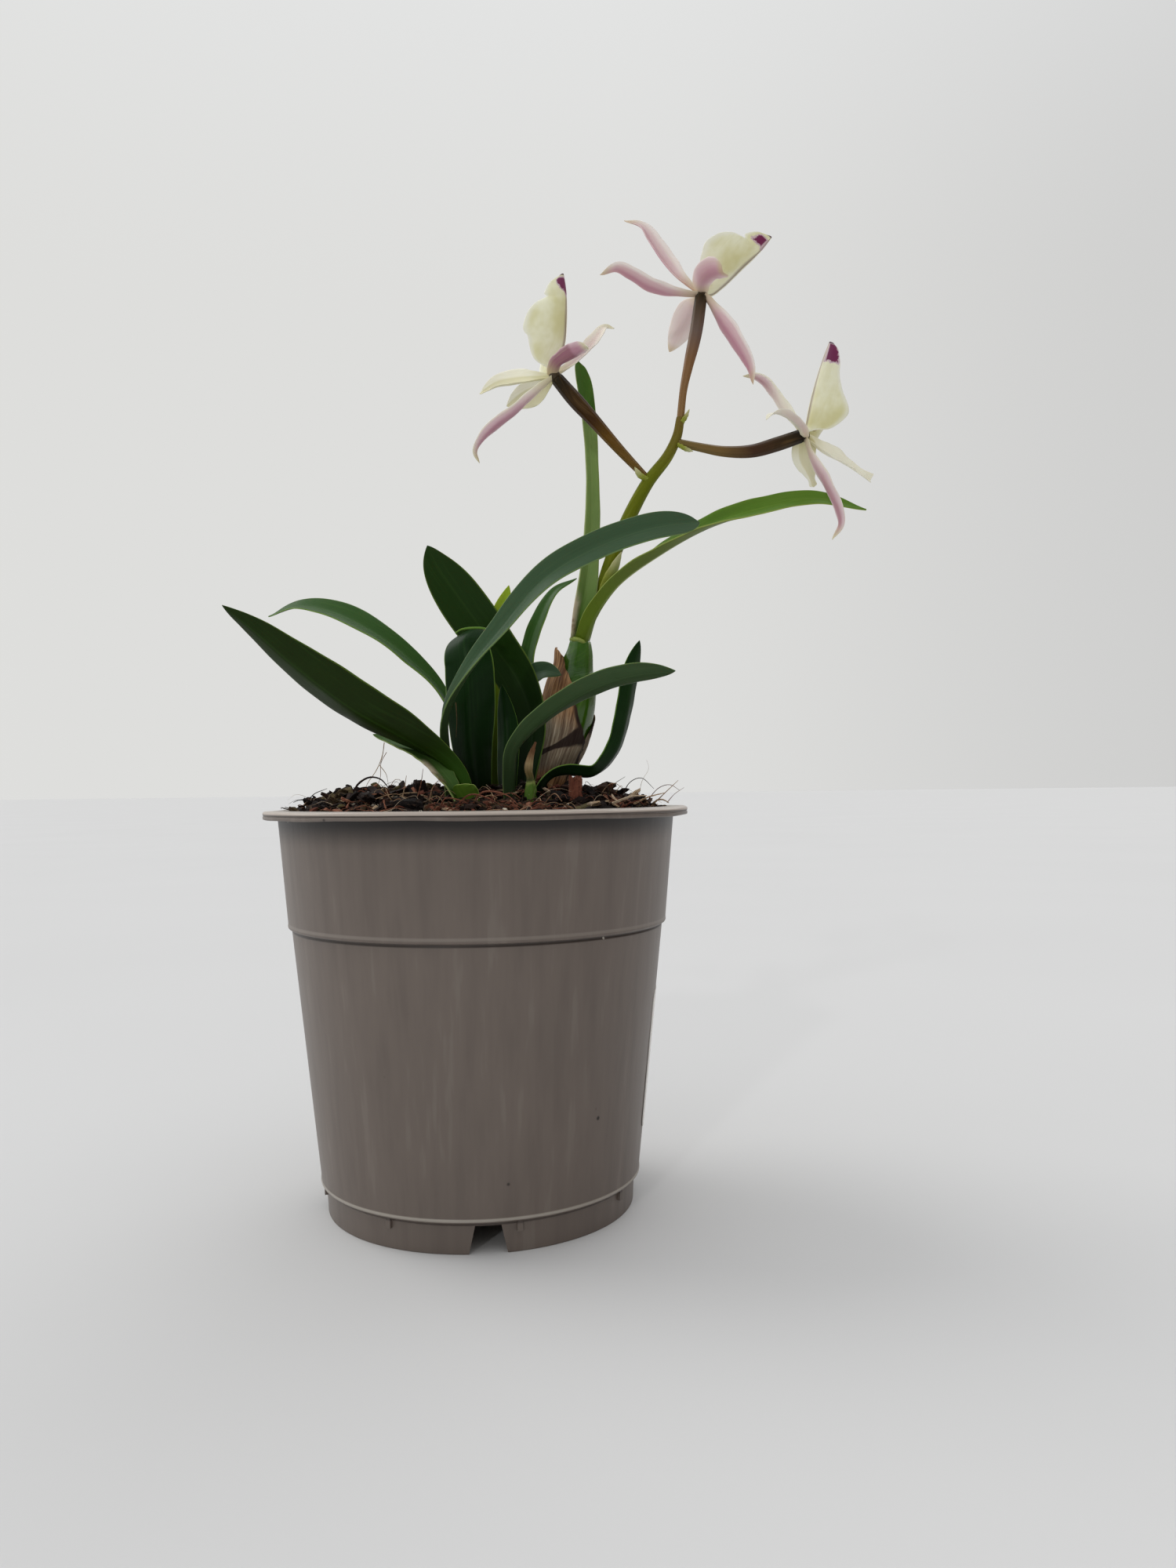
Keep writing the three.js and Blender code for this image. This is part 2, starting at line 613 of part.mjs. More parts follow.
// Flower spike and flower stalks
const SPIKE = {
  spine: [[30.6, 9.6, 160.6], [32, 10.4, 165.5], [35.2, 11, 172.5], [38.5, 9.4, 182], [41.5, 7, 189.5],
    [45.4, 6, 198], [50.2, 4, 206.2], [55.8, 2, 213], [58.5, 1, 218.5], [59.5, 0.5, 223.5]],
  radii: [1, 1.9, 2.1, 2.1, 1.9, 1.6, 1.3],
  steps: 14,
  sides: 8,
};
const BRACTS = [
  { spine: [[37, 8.2, 174], [39.3, 6.3, 180], [41.5, 5.2, 187]], face: [[-1, 1, 0], [-1, 1, 0]],
    fold: [40, 20], rootWidth: 3, width: 4, peak: 0.4, thickness: 0.7 },
  { spine: [[59.5, 0.5, 221.5], [61, -0.8, 223.5], [62, -1.6, 225.5]], face: [[-1, 1, 0], [-1, 1, 0]],
    fold: [20, 10], rootWidth: 1.8, width: 1.8, peak: 0.2, thickness: 0.7 },
];
const OVARIES = {
  ovary_left: {
    spine: [[48.5, 3.5, 208.4], [42.4, 1.5, 214.4], [34.2, -3, 222.4], [29, -6, 227.3],
      [25.2, -7.4, 231.4]],
    radii: [1.5, 1.3, 1.7, 2, 2.2, 2], steps: 10, sides: 8,
  },
  ovary_top: {
    spine: [[59.8, 0.4, 224.6], [60.5, 0.3, 231.5], [62, 1, 238.5], [64.5, 3, 249], [66.2, 5, 258.6]],
    radii: [1.1, 1.1, 1.3, 1.7, 1.9, 1.8], steps: 10, sides: 8,
  },
  ovary_right: {
    spine: [[60, 1.2, 216.3], [65, 1.8, 215.5], [72.5, 3, 214.5], [80.5, 4, 214.8], [88, 5, 217],
      [93.6, 5.3, 219]],
    radii: [1.2, 1.3, 1.5, 1.8, 2, 1.8], steps: 10, sides: 8,
  },
};

function spikeSolid() {
  return fuse([stemSolid(SPIKE), ...BRACTS.map((bract) => bladeSolid(bract, 5))]);
}

// Blooms
// Every tepal runs from the heart of its bloom, and the lip's narrow claw sits on it. The lip is a shell
// folded along its keel, with the column between its two walls.
const TEPAL = { rootWidth: 2.4, peak: 0.5, tipShape: 1.9, thickness: 0.7, fold: [25, 25] };
const LIP = { rootWidth: 3.2, peak: 0.4, tipShape: 1.9, thickness: 0.7, halves: 2, ripple: 0.3 };
const RECEPTACLE = { radius: 1.9, lipRoot: 2.1 };
const BLOOMS = {
  left: {
    heart: [23.6, -7.2, 233.4],
    tepals: [
      { spine: [[23, -9, 232.5], [17.5, -12, 226.5], [11, -15, 219.5], [5, -16, 214], [2, -14, 207.5]],
        face: [[-0.6, 0.4, 0.7], [-0.8, 0.5, 0.2]], width: 5.2 },
      { spine: [[22.5, -7, 233.4], [16, -3, 234], [9, 2, 234.2], [1, 5, 233.4]],
        face: [[-0.2, -0.9, 0.5], [0, -0.9, 0.5]], width: 6.6 },
      { spine: [[22.4, -5.6, 233], [19, 0.4, 232.4], [14, 6.4, 232.2], [8.6, 12, 231.4]],
        face: [[-0.7, -0.5, -0.5], [-0.7, -0.5, -0.5]], width: 8.4 },
      { spine: [[24, -9, 233.6], [26, -12, 235.4], [29, -15.5, 237], [32.5, -19.5, 236.4]],
        face: [[-0.5, 0.4, 0.8], [0.2, 0.4, 0.9]], width: 7, rootWidth: 4 },
      { spine: [[24.8, -6, 234], [29, -2, 238.8], [33, 1.5, 244], [36, 3, 249.4], [40.5, 4, 252]],
        face: [[-0.6, -0.7, 0.4], [-0.4, -0.7, 0.6]], width: 6.6 },
    ],
    lip: { spine: [[23.4, -4, 237], [26, -3, 243.5], [26.8, -2, 252.5], [26.8, -1, 260],
      [26.2, -0.6, 265.3]],
      face: [[-1, 0.3, 0.2], [-1, 0.5, 0]], width: 24, fold: [62, 68] },
    column: [[22.4, -3.3, 237.6], [20.6, -1.8, 242], [20.2, -1.2, 246.5]],
  },
  top: {
    heart: [66.6, 6.4, 261.6],
    tepals: [
      { spine: [[65.4, 7, 263], [59, 9.5, 268.4], [53.4, 12, 275], [49.4, 14, 283], [44.6, 15, 287]],
        face: [[0.4, -0.8, 0.4], [0.4, -0.8, 0.4]], width: 8 },
      { spine: [[65, 5.2, 261.2], [57, 0.5, 260], [49, -2.6, 262.2], [42.5, -4.5, 264.4], [37.5, -6, 263]],
        face: [[0.1, 0.5, 0.9], [0.1, 0.5, 0.9]], width: 6.4 },
      { spine: [[66, 8.6, 260.6], [63, 13.5, 258], [60.6, 17, 254.5], [58, 20, 250]],
        face: [[0.3, 0.7, 0.6], [0.3, 0.7, 0.6]], width: 9 },
      { spine: [[68, 5, 260], [71.6, 1.5, 252.6], [75.6, -0.6, 245], [79.4, -1, 238], [80.6, -0.4, 232.8]],
        face: [[0.6, 0.6, 0.4], [0.6, 0.6, 0.4]], width: 6.2 },
      { spine: [[66.6, 4.4, 261.8], [67, 0, 263], [69, -4.5, 264.2], [72.2, -8, 262.8]],
        face: [[0.2, 0.6, 0.8], [0.3, 0.4, 0.9]], width: 9.6, rootWidth: 4, tipShape: 3.4 },
    ],
    lip: { spine: [[70.2, 9, 263], [74, 9.4, 266], [79.4, 10, 271.4], [84.4, 10, 276], [88, 9.6, 280]],
      face: [[-0.65, 0.2, 0.75], [-0.6, 0.4, 0.8]], width: 25, fold: [62, 68] },
    column: [[69, 10.2, 265], [71.6, 12.2, 269.6], [74.4, 13.4, 273]],
  },
  right: {
    heart: [96.2, 5.6, 219.6],
    tepals: [
      { spine: [[95.2, 7, 221], [92.2, 9.5, 228], [88.4, 11.5, 235], [83.6, 12, 239], [79, 12, 238.8]],
        face: [[0.7, 0.6, 0.3], [0.3, 0.5, 0.8]], width: 4.4 },
      { spine: [[95, 4, 220.6], [91.2, -0.5, 222.6], [87, -5, 222.8], [82.2, -9, 219.8]],
        face: [[0.3, 0.3, 0.9], [-0.3, -0.2, 0.9]], width: 4.8 },
      { spine: [[96.6, 3.6, 218], [98.8, 0, 208.8], [102, -2.6, 200.5], [105, -3, 193.5], [103, -2, 187.5]],
        face: [[0.9, 0.4, 0.3], [0.9, 0.3, 0.2]], width: 5 },
      { spine: [[97.8, 6.6, 218.8], [103.2, 8.6, 216], [110, 10.6, 212.6], [116.8, 12, 207.6]],
        face: [[0.3, -0.8, 0.6], [0.3, -0.8, 0.6]], width: 6.2 },
      { spine: [[97, 8, 218], [99.4, 13.6, 215.4], [101, 18.6, 213], [102.2, 22.6, 208.8]],
        face: [[0, -0.6, -0.8], [0, -0.6, -0.8]], width: 8.4 },
    ],
    lip: { spine: [[97.4, 8.6, 222.6], [99, 9, 230], [101.2, 9.4, 238], [103.2, 9.8, 244],
      [105, 10, 248.8]],
      face: [[1, 0.3, -0.2], [1, 0.5, -0.3]], width: 22, fold: [62, 68] },
    column: [[99.8, 9.6, 223], [103.4, 11, 227], [106, 12, 230.8]],
  },
};

function bloomTepals({ heart, tepals }) {
  const receptacle = new THREE.SphereGeometry(RECEPTACLE.radius, 10, 6).translate(...heart);
  const blades = tepals.map((tepal) => {
    const spine = [heart, ...tepal.spine];
    return bladeSolid({ ...TEPAL, ...tepal, spine }, TEPAL_STEPS);
  });
  return fuse([solid(receptacle), ...blades]);
}

function bloomLip({ heart, lip }, grow = 0) {
  const [middle, first] = toVectors([heart, lip.spine[0]]);
  const claw = middle.clone().addScaledVector(first.sub(middle).normalize(), RECEPTACLE.lipRoot);
  const spine = [claw.toArray(), ...lip.spine];
  return bladeSolid({ ...LIP, ...lip, spine }, TEPAL_STEPS + 3, grow);
}

function bloomColumn({ column }, grow = 0) {
  return stemSolid({ spine: column, radii: [1.1, 1.2, 1.5, 1.6, 1.1], steps: 6, sides: 8 }, grow);
}

// Assembly
function buildPlant() {
  const meshes = [];
  const inMix = [];
  const add = (name, body, material) => meshes.push(meshOf(name, body, material));

  for (const [name, leaf] of Object.entries(LEAVES)) {
    add(name, leafSolid(name), leaf.material);
    if (leaf.spine[0][2] < MIX.edgeZ + 3) inMix.push(leafSolid(name, CLEARANCE));
  }
  add("pseudobulb_flowering", mainBulb(), BULB_GREEN);
  add("bulb_sheath", paperSheath(), DRY_SHEATH);
  add("pseudobulb_back", stemSolid(BACK_BULB), BULB_GREEN);
  add("young_shoot", stemSolid(YOUNG_SHOOT), LEAF_FRESH);
  add("sheath_front", bladeSolid(FRONT_SHEATH, 6), LEAF_FRESH);
  inMix.push(mainBulb(2 * CLEARANCE + PAPER_SKIN), stemSolid(BACK_BULB, CLEARANCE));
  inMix.push(stemSolid(YOUNG_SHOOT, CLEARANCE), bladeSolid(FRONT_SHEATH, 6, CLEARANCE));

  add("flower_spike", spikeSolid(), SPIKE_GREEN);
  for (const [name, ovary] of Object.entries(OVARIES)) add(name, stemSolid(ovary), OVARY_BROWN);
  for (const [name, bloom] of Object.entries(BLOOMS)) {
    const clear = [bloomLip(bloom, CLEARANCE), bloomColumn(bloom, CLEARANCE)];
    add(`bloom_${name}_tepals`, largestPiece(cut(bloomTepals(bloom), clear)), TEPAL_PINK);
    add(`bloom_${name}_lip`, largestPiece(bloomLip(bloom).subtract(clear[1])), LIP_CREAM);
    add(`bloom_${name}_column`, bloomColumn(bloom), COLUMN_CREAM);
  }
  for (const chip of ACCENT_CHIPS) {
    add(chip.name, accentChip(chip), chip.material);
    inMix.push(accentChip(chip, CLEARANCE));
  }
  return { meshes, inMix };
}

function buildOrchid() {
  const group = new THREE.Group();
  const { meshes, inMix } = buildPlant();
  group.add(meshOf("pot", potSolid(), POT_PLASTIC));
  group.add(meshOf("blank_label", labelSolid(), LABEL_PAPER));
  group.add(meshOf("growing_mix", largestPiece(cut(chippedMix(), inMix)), BARK_DARK));
  group.add(...meshes);
  return group;
}

const group = buildOrchid();
export default group;
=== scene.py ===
"""A small orchid in flower in a nursery pot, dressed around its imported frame.

Plant sizes and places are in millimetres, in the frame's own axes: +Z up, +Y away from the viewer,
and the origin under the middle of the pot. Meshes are written in metres.
"""

import math

import bmesh
import bpy
import numpy as np
from mathutils import Euler, Matrix, Vector, noise


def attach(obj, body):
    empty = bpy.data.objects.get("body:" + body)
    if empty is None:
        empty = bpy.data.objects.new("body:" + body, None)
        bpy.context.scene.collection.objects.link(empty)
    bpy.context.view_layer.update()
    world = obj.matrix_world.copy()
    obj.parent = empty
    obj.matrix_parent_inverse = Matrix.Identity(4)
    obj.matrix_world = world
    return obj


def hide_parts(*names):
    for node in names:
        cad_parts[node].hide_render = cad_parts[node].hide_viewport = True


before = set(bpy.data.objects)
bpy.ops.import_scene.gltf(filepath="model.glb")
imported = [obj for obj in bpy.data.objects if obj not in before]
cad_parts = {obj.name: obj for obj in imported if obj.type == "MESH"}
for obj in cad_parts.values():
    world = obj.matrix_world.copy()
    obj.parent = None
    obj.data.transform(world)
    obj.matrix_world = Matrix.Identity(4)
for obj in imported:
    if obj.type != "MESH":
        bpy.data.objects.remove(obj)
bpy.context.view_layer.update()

MM = 0.001


# Sizes of the pot and its filling
POT = {
    "wall": 1.2, "height": 111.7, "rim": 60.0, "lip_height": 2.2, "lip_thickness": 1.0,
    "band_top": 56.1, "band_foot": 53.4, "step_height": 79.3, "step": 52.4, "step_run": 1.0,
    "shoulder": 45.0, "shoulder_height": 9.0, "foot": 43.2, "floor": 1.4, "sides": 192,
}
NOTCH = {"count": 4, "turn": 7.1, "at_ground": 10.3, "at_top": 6.6, "height": 7.4, "wall": 1.2,
         "inner": 19.0}
DRAIN = {"radius": 3.0, "distance": 26.0, "sides": 24, "from": 3.4, "to": 11.4}
NUB = {"count": 8, "turn": 17.5, "width": 1.4, "depth": 0.9, "height": 2.6}
# The rim is a little wavy: depth, number and start of each wave round it
RIM_WAVES = ((0.14, 3, 0.6), (0.08, 7, 2.0), (0.05, 17, 0.0))
RIM_SAG = 0.2
LABEL = {"from": 78.5, "to": 135.0, "low": 21.5, "high": 60.0, "thickness": 0.2, "corner": 3.0,
         "lift": 0.1, "lifted": 4.0, "off_wall": 0.03, "columns": 48, "rows": 12}
MIX = {"edge": 109.9, "crown": 4.6, "shoulder": 26.0, "ripple": 0.5, "dip": 1.6, "sides": 150, "rings": 46}
ROOT_Z = 111.0

# The plant: spines from root to tip, which way the upper side faces (one way, or several from root to
# tip), the fold at root and tip in degrees, and widths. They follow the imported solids.
LEAVES = {
    "leaf_front_left": {
        "skin": "dark", "wave": 0.14,
        "spine": [[-2, -21.5, ROOT_Z], [-2.5, -22, 118], [-6, -24, 123.5], [-15, -30, 130],
                  [-28.5, -36, 138], [-42.5, -40, 149], [-52, -42, 157.5], [-60, -43, 164]],
        "face": [[0.5, 0.8, 0.2], [0.3, 0.8, 0.5], [0.1, 0.8, 0.6]],
        "fold": [40, 20], "root": 5, "width": 15.5, "peak": 0.52, "tip": 1.7,
    },
    "leaf_front_short": {
        "skin": "fresh", "wave": 0.12,
        "spine": [[-2, -26.5, ROOT_Z + 1], [-4.6, -26, 117], [-7.6, -25, 121], [-11.9, -23.8, 125.6],
                  [-18, -23, 129.1], [-26, -23, 132]],
        "face": [[0.4, -0.5, 0.7], [0.3, -0.6, 0.75]],
        "fold": [30, 14], "root": 4, "width": 8.6, "peak": 0.5,
    },
    "leaf_back_left": {
        "skin": "mid", "wave": 0.2,
        "spine": [[-2.5, 3, ROOT_Z], [-2.5, 3, 118.5], [-4.5, 4, 130], [-11.5, 8, 145.5],
                  [-21.5, 10, 156], [-33, 11, 164.5], [-45, 13, 170.5], [-55, 15, 172.5],
                  [-64.5, 17, 170]],
        "face": [[1, 0.2, 0.3], [0, -0.5, 1], [0, -0.5, 1]],
        "fold": [35, 12], "width": 13,
        "lobes": ((0, 0.3), (0.15, 0.34), (0.3, 0.36), (0.4, 0.44), (0.5, 0.6), (0.6, 0.78), (0.72, 1),
                  (0.82, 0.92), (0.92, 0.58), (1, 0.03)),
    },
    "leaf_centre_tall": {
        "skin": "tall", "wave": 0.15,
        "spine": [[14, -1, ROOT_Z], [14, -1, 119.5], [16, -0.5, 134], [12.4, -1.5, 147],
                  [5.4, -2, 157.5], [-4.4, -4, 171.5], [-10.4, -6, 180.5], [-13, -7, 186]],
        "face": [[-0.2, -1, 0.1], [-0.2, -1, 0.35]],
        "fold": [38, 8], "root": 7, "width": 14, "peak": 0.66, "tip": 3.4,
    },
    "leaf_centre_front": {
        "skin": "deep", "wave": 0.2,
        "spine": [[1, -12, ROOT_Z], [0.5, -12.5, 117.5], [-0.5, -14, 129], [-0.5, -17, 142],
                  [-1, -18, 151.6], [-1.6, -16.4, 158.2], [1.8, -12.8, 161.8], [6.4, -11, 160.4]],
        "face": [[0, 1, 0.1], [0, 1, 0.1], [0.3, 0.2, -1]],
        "fold": [40, 14], "root": 9.5, "width": 15, "peak": 0.5, "tip": 3.4,
    },
    "leaf_centre_inner": {
        "skin": "deep", "wave": 0.15,
        "spine": [[8.6, -7, ROOT_Z], [8.6, -7, 120], [9, -7, 133], [7.6, -6.2, 146.5]],
        "face": [0.2, 1, 0.1],
        "fold": [35, 15], "root": 5.5, "width": 7, "peak": 0.5,
    },
    "leaf_right_arch": {
        "skin": "blue", "wave": 0.12,
        "spine": [[-5.8, -15, ROOT_Z], [-6, -15.4, 118], [-6.6, -18.5, 128], [-6, -24, 137],
                  [-1, -28, 146], [9, -30, 158.2], [21, -30, 171.8], [34.5, -28.5, 180],
                  [49, -26.5, 185.5], [62.5, -23, 188]],
        "face": [[-0.9, 0.4, 0], [-0.6, -0.5, 0.5], [-0.25, -0.85, 0.5], [-0.1, -0.85, 0.5]],
        "fold": [38, 12], "root": 4, "width": 10.4, "peak": 0.74, "tip": 8,
    },
    "leaf_back_mid": {
        "skin": "mid", "wave": 0.15,
        "spine": [[13, 12, ROOT_Z], [13, 12, 118.5], [13.5, 12.5, 142], [14.5, 12.5, 156.5],
                  [18, 12.5, 168], [22.5, 13, 176], [29, 14, 180]],
        "face": [[-1, -0.3, 0], [-0.6, -0.6, 0.4], [-0.3, -0.7, 0.7]],
        "fold": [30, 12], "root": 4, "width": 7, "peak": 0.6,
    },
    "leaf_back_tip": {
        "skin": "lime", "wave": 0.15,
        "spine": [[5, 9, ROOT_Z], [5, 9, 118.5], [5.5, 9.5, 146.5], [6, 8.5, 164.5], [9, 7.5, 177]],
        "face": [[-0.2, -1, 0], [-0.3, -1, 0.3]],
        "fold": [30, 14], "root": 4, "width": 8, "peak": 0.7, "tip": 2.6,
    },
    "leaf_right_low": {
        "skin": "blue", "wave": 0.15,
        "spine": [[11, -17.5, ROOT_Z], [11, -18, 119], [12, -20, 127.5], [19.5, -23, 135.5],
                  [32, -26, 143], [43, -28, 146.5], [55, -30, 147.5]],
        "face": [[-0.8, 0.5, 0.3], [-0.1, 0.7, 0.7]],
        "fold": [35, 14], "root": 5, "width": 8, "peak": 0.6, "tip": 4.2,
    },
    "leaf_right_twist": {
        "skin": "deep", "wave": 0.12,
        "spine": [[17.5, -10, ROOT_Z], [18.5, -9.5, 117], [21.5, -8, 120.5], [26, -6.5, 121.5],
                  [33, -4, 121], [39.5, 0, 127.5], [43, 2.6, 139], [44.8, 4, 150], [47.2, 5, 160]],
        "face": [[-0.3, 0.3, 0.9], [-0.3, 0.5, 0.8], [-1, 0.7, 0.2], [-0.7, 0.9, 0]],
        "fold": [30, 10], "root": 4, "width": 8.4, "peak": 0.64, "tip": 3.2,
    },
    "leaf_small_mid": {
        "skin": "blue", "wave": 0.1,
        "spine": [[12.5, 5, ROOT_Z], [12.5, 5, 119.5], [12.8, 5, 142], [14.6, 3.6, 148.6],
                  [19.2, 0.6, 150.8], [24.4, -2.6, 149.4]],
        "face": [[-0.8, 0.2, 0], [0.1, -1, 0.35]],
        "fold": [30, 12], "root": 3.5, "width": 7.4, "peak": 0.7, "tip": 2.8,
    },
    "leaf_top_upright": {
        "skin": "grey", "wave": 0.12,
        "spine": [[28.6, 7.4, 160.8], [29.6, 8, 166.8], [31.2, 8.6, 174], [32.6, 9.6, 184.5],
                  [33.6, 12, 202.5], [33.2, 14, 222], [31.8, 15, 236.5], [30, 16, 246]],
        "face": [[0.3, -1, 0], [0.4, -1, 0], [0.6, -1, 0], [0.6, -1, 0]],
        "fold": [38, 20], "width": 7.2,
        "lobes": ((0, 0.67), (0.16, 1), (0.34, 0.82), (0.55, 0.7), (0.66, 0.68), (0.8, 0.76),
                  (0.9, 0.82), (0.96, 0.64), (1, 0.12)),
    },
    "leaf_top_arch": {
        "skin": "bright", "wave": 0.15,
        "spine": [[31.1, 5.9, 159.9], [33.9, 4.8, 167], [41.2, 3.6, 176.5], [53.2, 3, 185],
                  [66.7, 3.2, 192.3], [82.9, 4.6, 197.9], [99.6, 6, 200.9], [114.5, 7, 198]],
        "face": [[-0.45, 0.85, 0.1], [-0.6, -0.1, 0.8], [0, -0.78, 0.62], [0, -0.8, 0.6]],
        "fold": [46, 14], "width": 9.8,
        "lobes": ((0, 0.66), (0.15, 0.66), (0.3, 0.76), (0.45, 0.86), (0.6, 0.86), (0.74, 0.78),
                  (0.88, 0.56), (1, 0.05)),
    },
}

MAIN_BULB = {
    "spine": [[18.6, 7, ROOT_Z + 2], [21.2, 7, 122], [24.2, 7.5, 131], [26.2, 7.5, 141], [28, 8, 150],
              [29.5, 8, 156.5], [29.8, 8, 160.1]],
    "radii": [3.2, 4.5, 6, 7.1, 7.7, 7.1, 4.8, 3.1],
}
RING = {"spine": [[29.6, 7.9, 159.7], [29.85, 7.9, 160.4]], "radii": [3.15, 3.25, 3.2]}
BACK_BULB = {
    "spine": [[20, 22, ROOT_Z + 2], [20, 23, 125], [21, 25, 138], [22, 26, 147]],
    "radii": [3.2, 5.6, 5.6, 3.4, 1.4],
}
YOUNG_SHOOT = {
    "spine": [[15.8, -16, ROOT_Z], [15.8, -16, 116], [15.8, -16.2, 119.5], [15.3, -16.3, 122.2],
              [15.9, -16.5, 125.6], [17.4, -16.6, 129.6]],
    "radii": [1.7, 1.8, 1.7, 1.3, 0.9, 1.1, 0.9, 0.6, 0.3],
}
FRONT_SHEATH = {
    "spine": [[-0.4, -26.8, ROOT_Z + 1], [-1.2, -27.6, 114.8], [-3, -29.4, 118.2]],
    "face": [[0, 1, 0.3], [0.5, 1, 0.6]],
    "fold": [52, 40], "root": 7.4, "width": 8.6, "peak": 0.5,
}

SPIKE = {
    "spine": [[30.6, 9.6, 160.6], [32, 10.4, 165.5], [35.2, 11, 172.5], [38.5, 9.4, 182],
              [41.5, 7, 189.5], [45.4, 6, 198], [50.2, 4, 206.2], [55.8, 2, 213], [58.5, 1, 218.5],
              [59.5, 0.5, 223.5]],
    "radii": [1, 1.9, 2.1, 2.1, 1.9, 1.6, 1.2],
}
BRACTS = [
    {"spine": [[36.4, 7.6, 172], [38.4, 6, 177.4], [40.4, 5.2, 181.6], [42.2, 5, 186]],
     "face": [-0.7, 1, 0], "fold": [40, 20], "root": 3, "width": 4.2, "peak": 0.3},
    {"spine": [[59.5, 0.5, 221.5], [61, -0.8, 223.5], [62, -1.6, 225.5]], "face": [-1, 1, 0],
     "fold": [20, 10], "root": 1.8, "width": 1.8, "peak": 0.2},
    {"spine": [[50.4, 3.2, 206], [47.8, 1.6, 207.2], [46.2, 0.6, 209.6]], "face": [0, 0.4, 1],
     "fold": [50, 20], "root": 2, "width": 2.4, "peak": 0.3},
    {"spine": [[58.6, 0.4, 215.6], [60.6, -0.6, 214.2], [63, -0.8, 213.6]], "face": [0, 0.4, 1],
     "fold": [50, 20], "root": 2, "width": 2.4, "peak": 0.3},
]
OVARIES = {
    "ovary_left": {
        "spine": [[50.2, 3.9, 206.8], [42.4, 1.5, 214.4], [34.2, -3, 222.4], [29, -6, 227.3],
                  [24.4, -7.3, 232.4]],
        "radii": [0.9, 1.2, 1.5, 1.8, 2.1, 1.8],
        "stages": ((0, (116, 90, 40)), (0.45, (100, 70, 16)), (0.62, (64, 38, 6)), (1, (38, 30, 10))),
    },
    "ovary_top": {
        "spine": [[59.5, 0.5, 222.8], [60.5, 0.3, 231.5], [62, 1, 238.5], [64.5, 3, 249],
                  [66.4, 5.4, 260.4]],
        "radii": [1, 1, 1.3, 1.7, 1.8, 1.7],
        "stages": ((0, (138, 106, 66)), (0.45, (128, 94, 62)), (0.7, (108, 90, 80)),
                   (0.88, (84, 68, 52)), (1, (46, 38, 20))),
    },
    "ovary_right": {
        "spine": [[57.8, 1.2, 217], [65, 1.8, 215.5], [72.5, 3, 214.5], [80.5, 4, 214.8], [88, 5, 217],
                  [95, 5.4, 219.4]],
        "radii": [1, 1.2, 1.5, 1.8, 2, 1.9],
        "stages": ((0, (124, 108, 60)), (0.35, (118, 94, 54)), (0.6, (70, 46, 30)), (0.9, (54, 40, 20)),
                   (1, (28, 20, 12))),
    },
}

# Blooms. "blush" is how rosy a tepal is from base to tip: below 0 it is greenish, with painted shade in
# khaki over one half, and above 1.6 it shows its dark inside. "lean" shifts the blush to one side. "lobes"
# gives shares of the width.
TEPAL = {"root": 2.4, "peak": 0.5, "tip": 1.9, "fold": [25, 25], "lean": 0.0, "wave": 0.2}
LIP_LOBES = ((0, 0.04), (0.04, 0.26), (0.14, 0.69), (0.3, 0.93), (0.43, 1.0), (0.57, 0.93), (0.7, 0.73),
             (0.75, 0.57), (0.78, 0.46), (0.81, 0.51), (0.88, 0.45), (0.94, 0.33), (0.98, 0.14),
             (1.0, 0.03))
RIGHT_LOBES = ((0, 0.1), (0.05, 0.35), (0.1, 0.62), (0.2, 0.88), (0.28, 1.0), (0.36, 0.96), (0.5, 0.76),
               (0.62, 0.6), (0.72, 0.5), (0.8, 0.46), (0.88, 0.38), (0.95, 0.28), (1.0, 0.1))
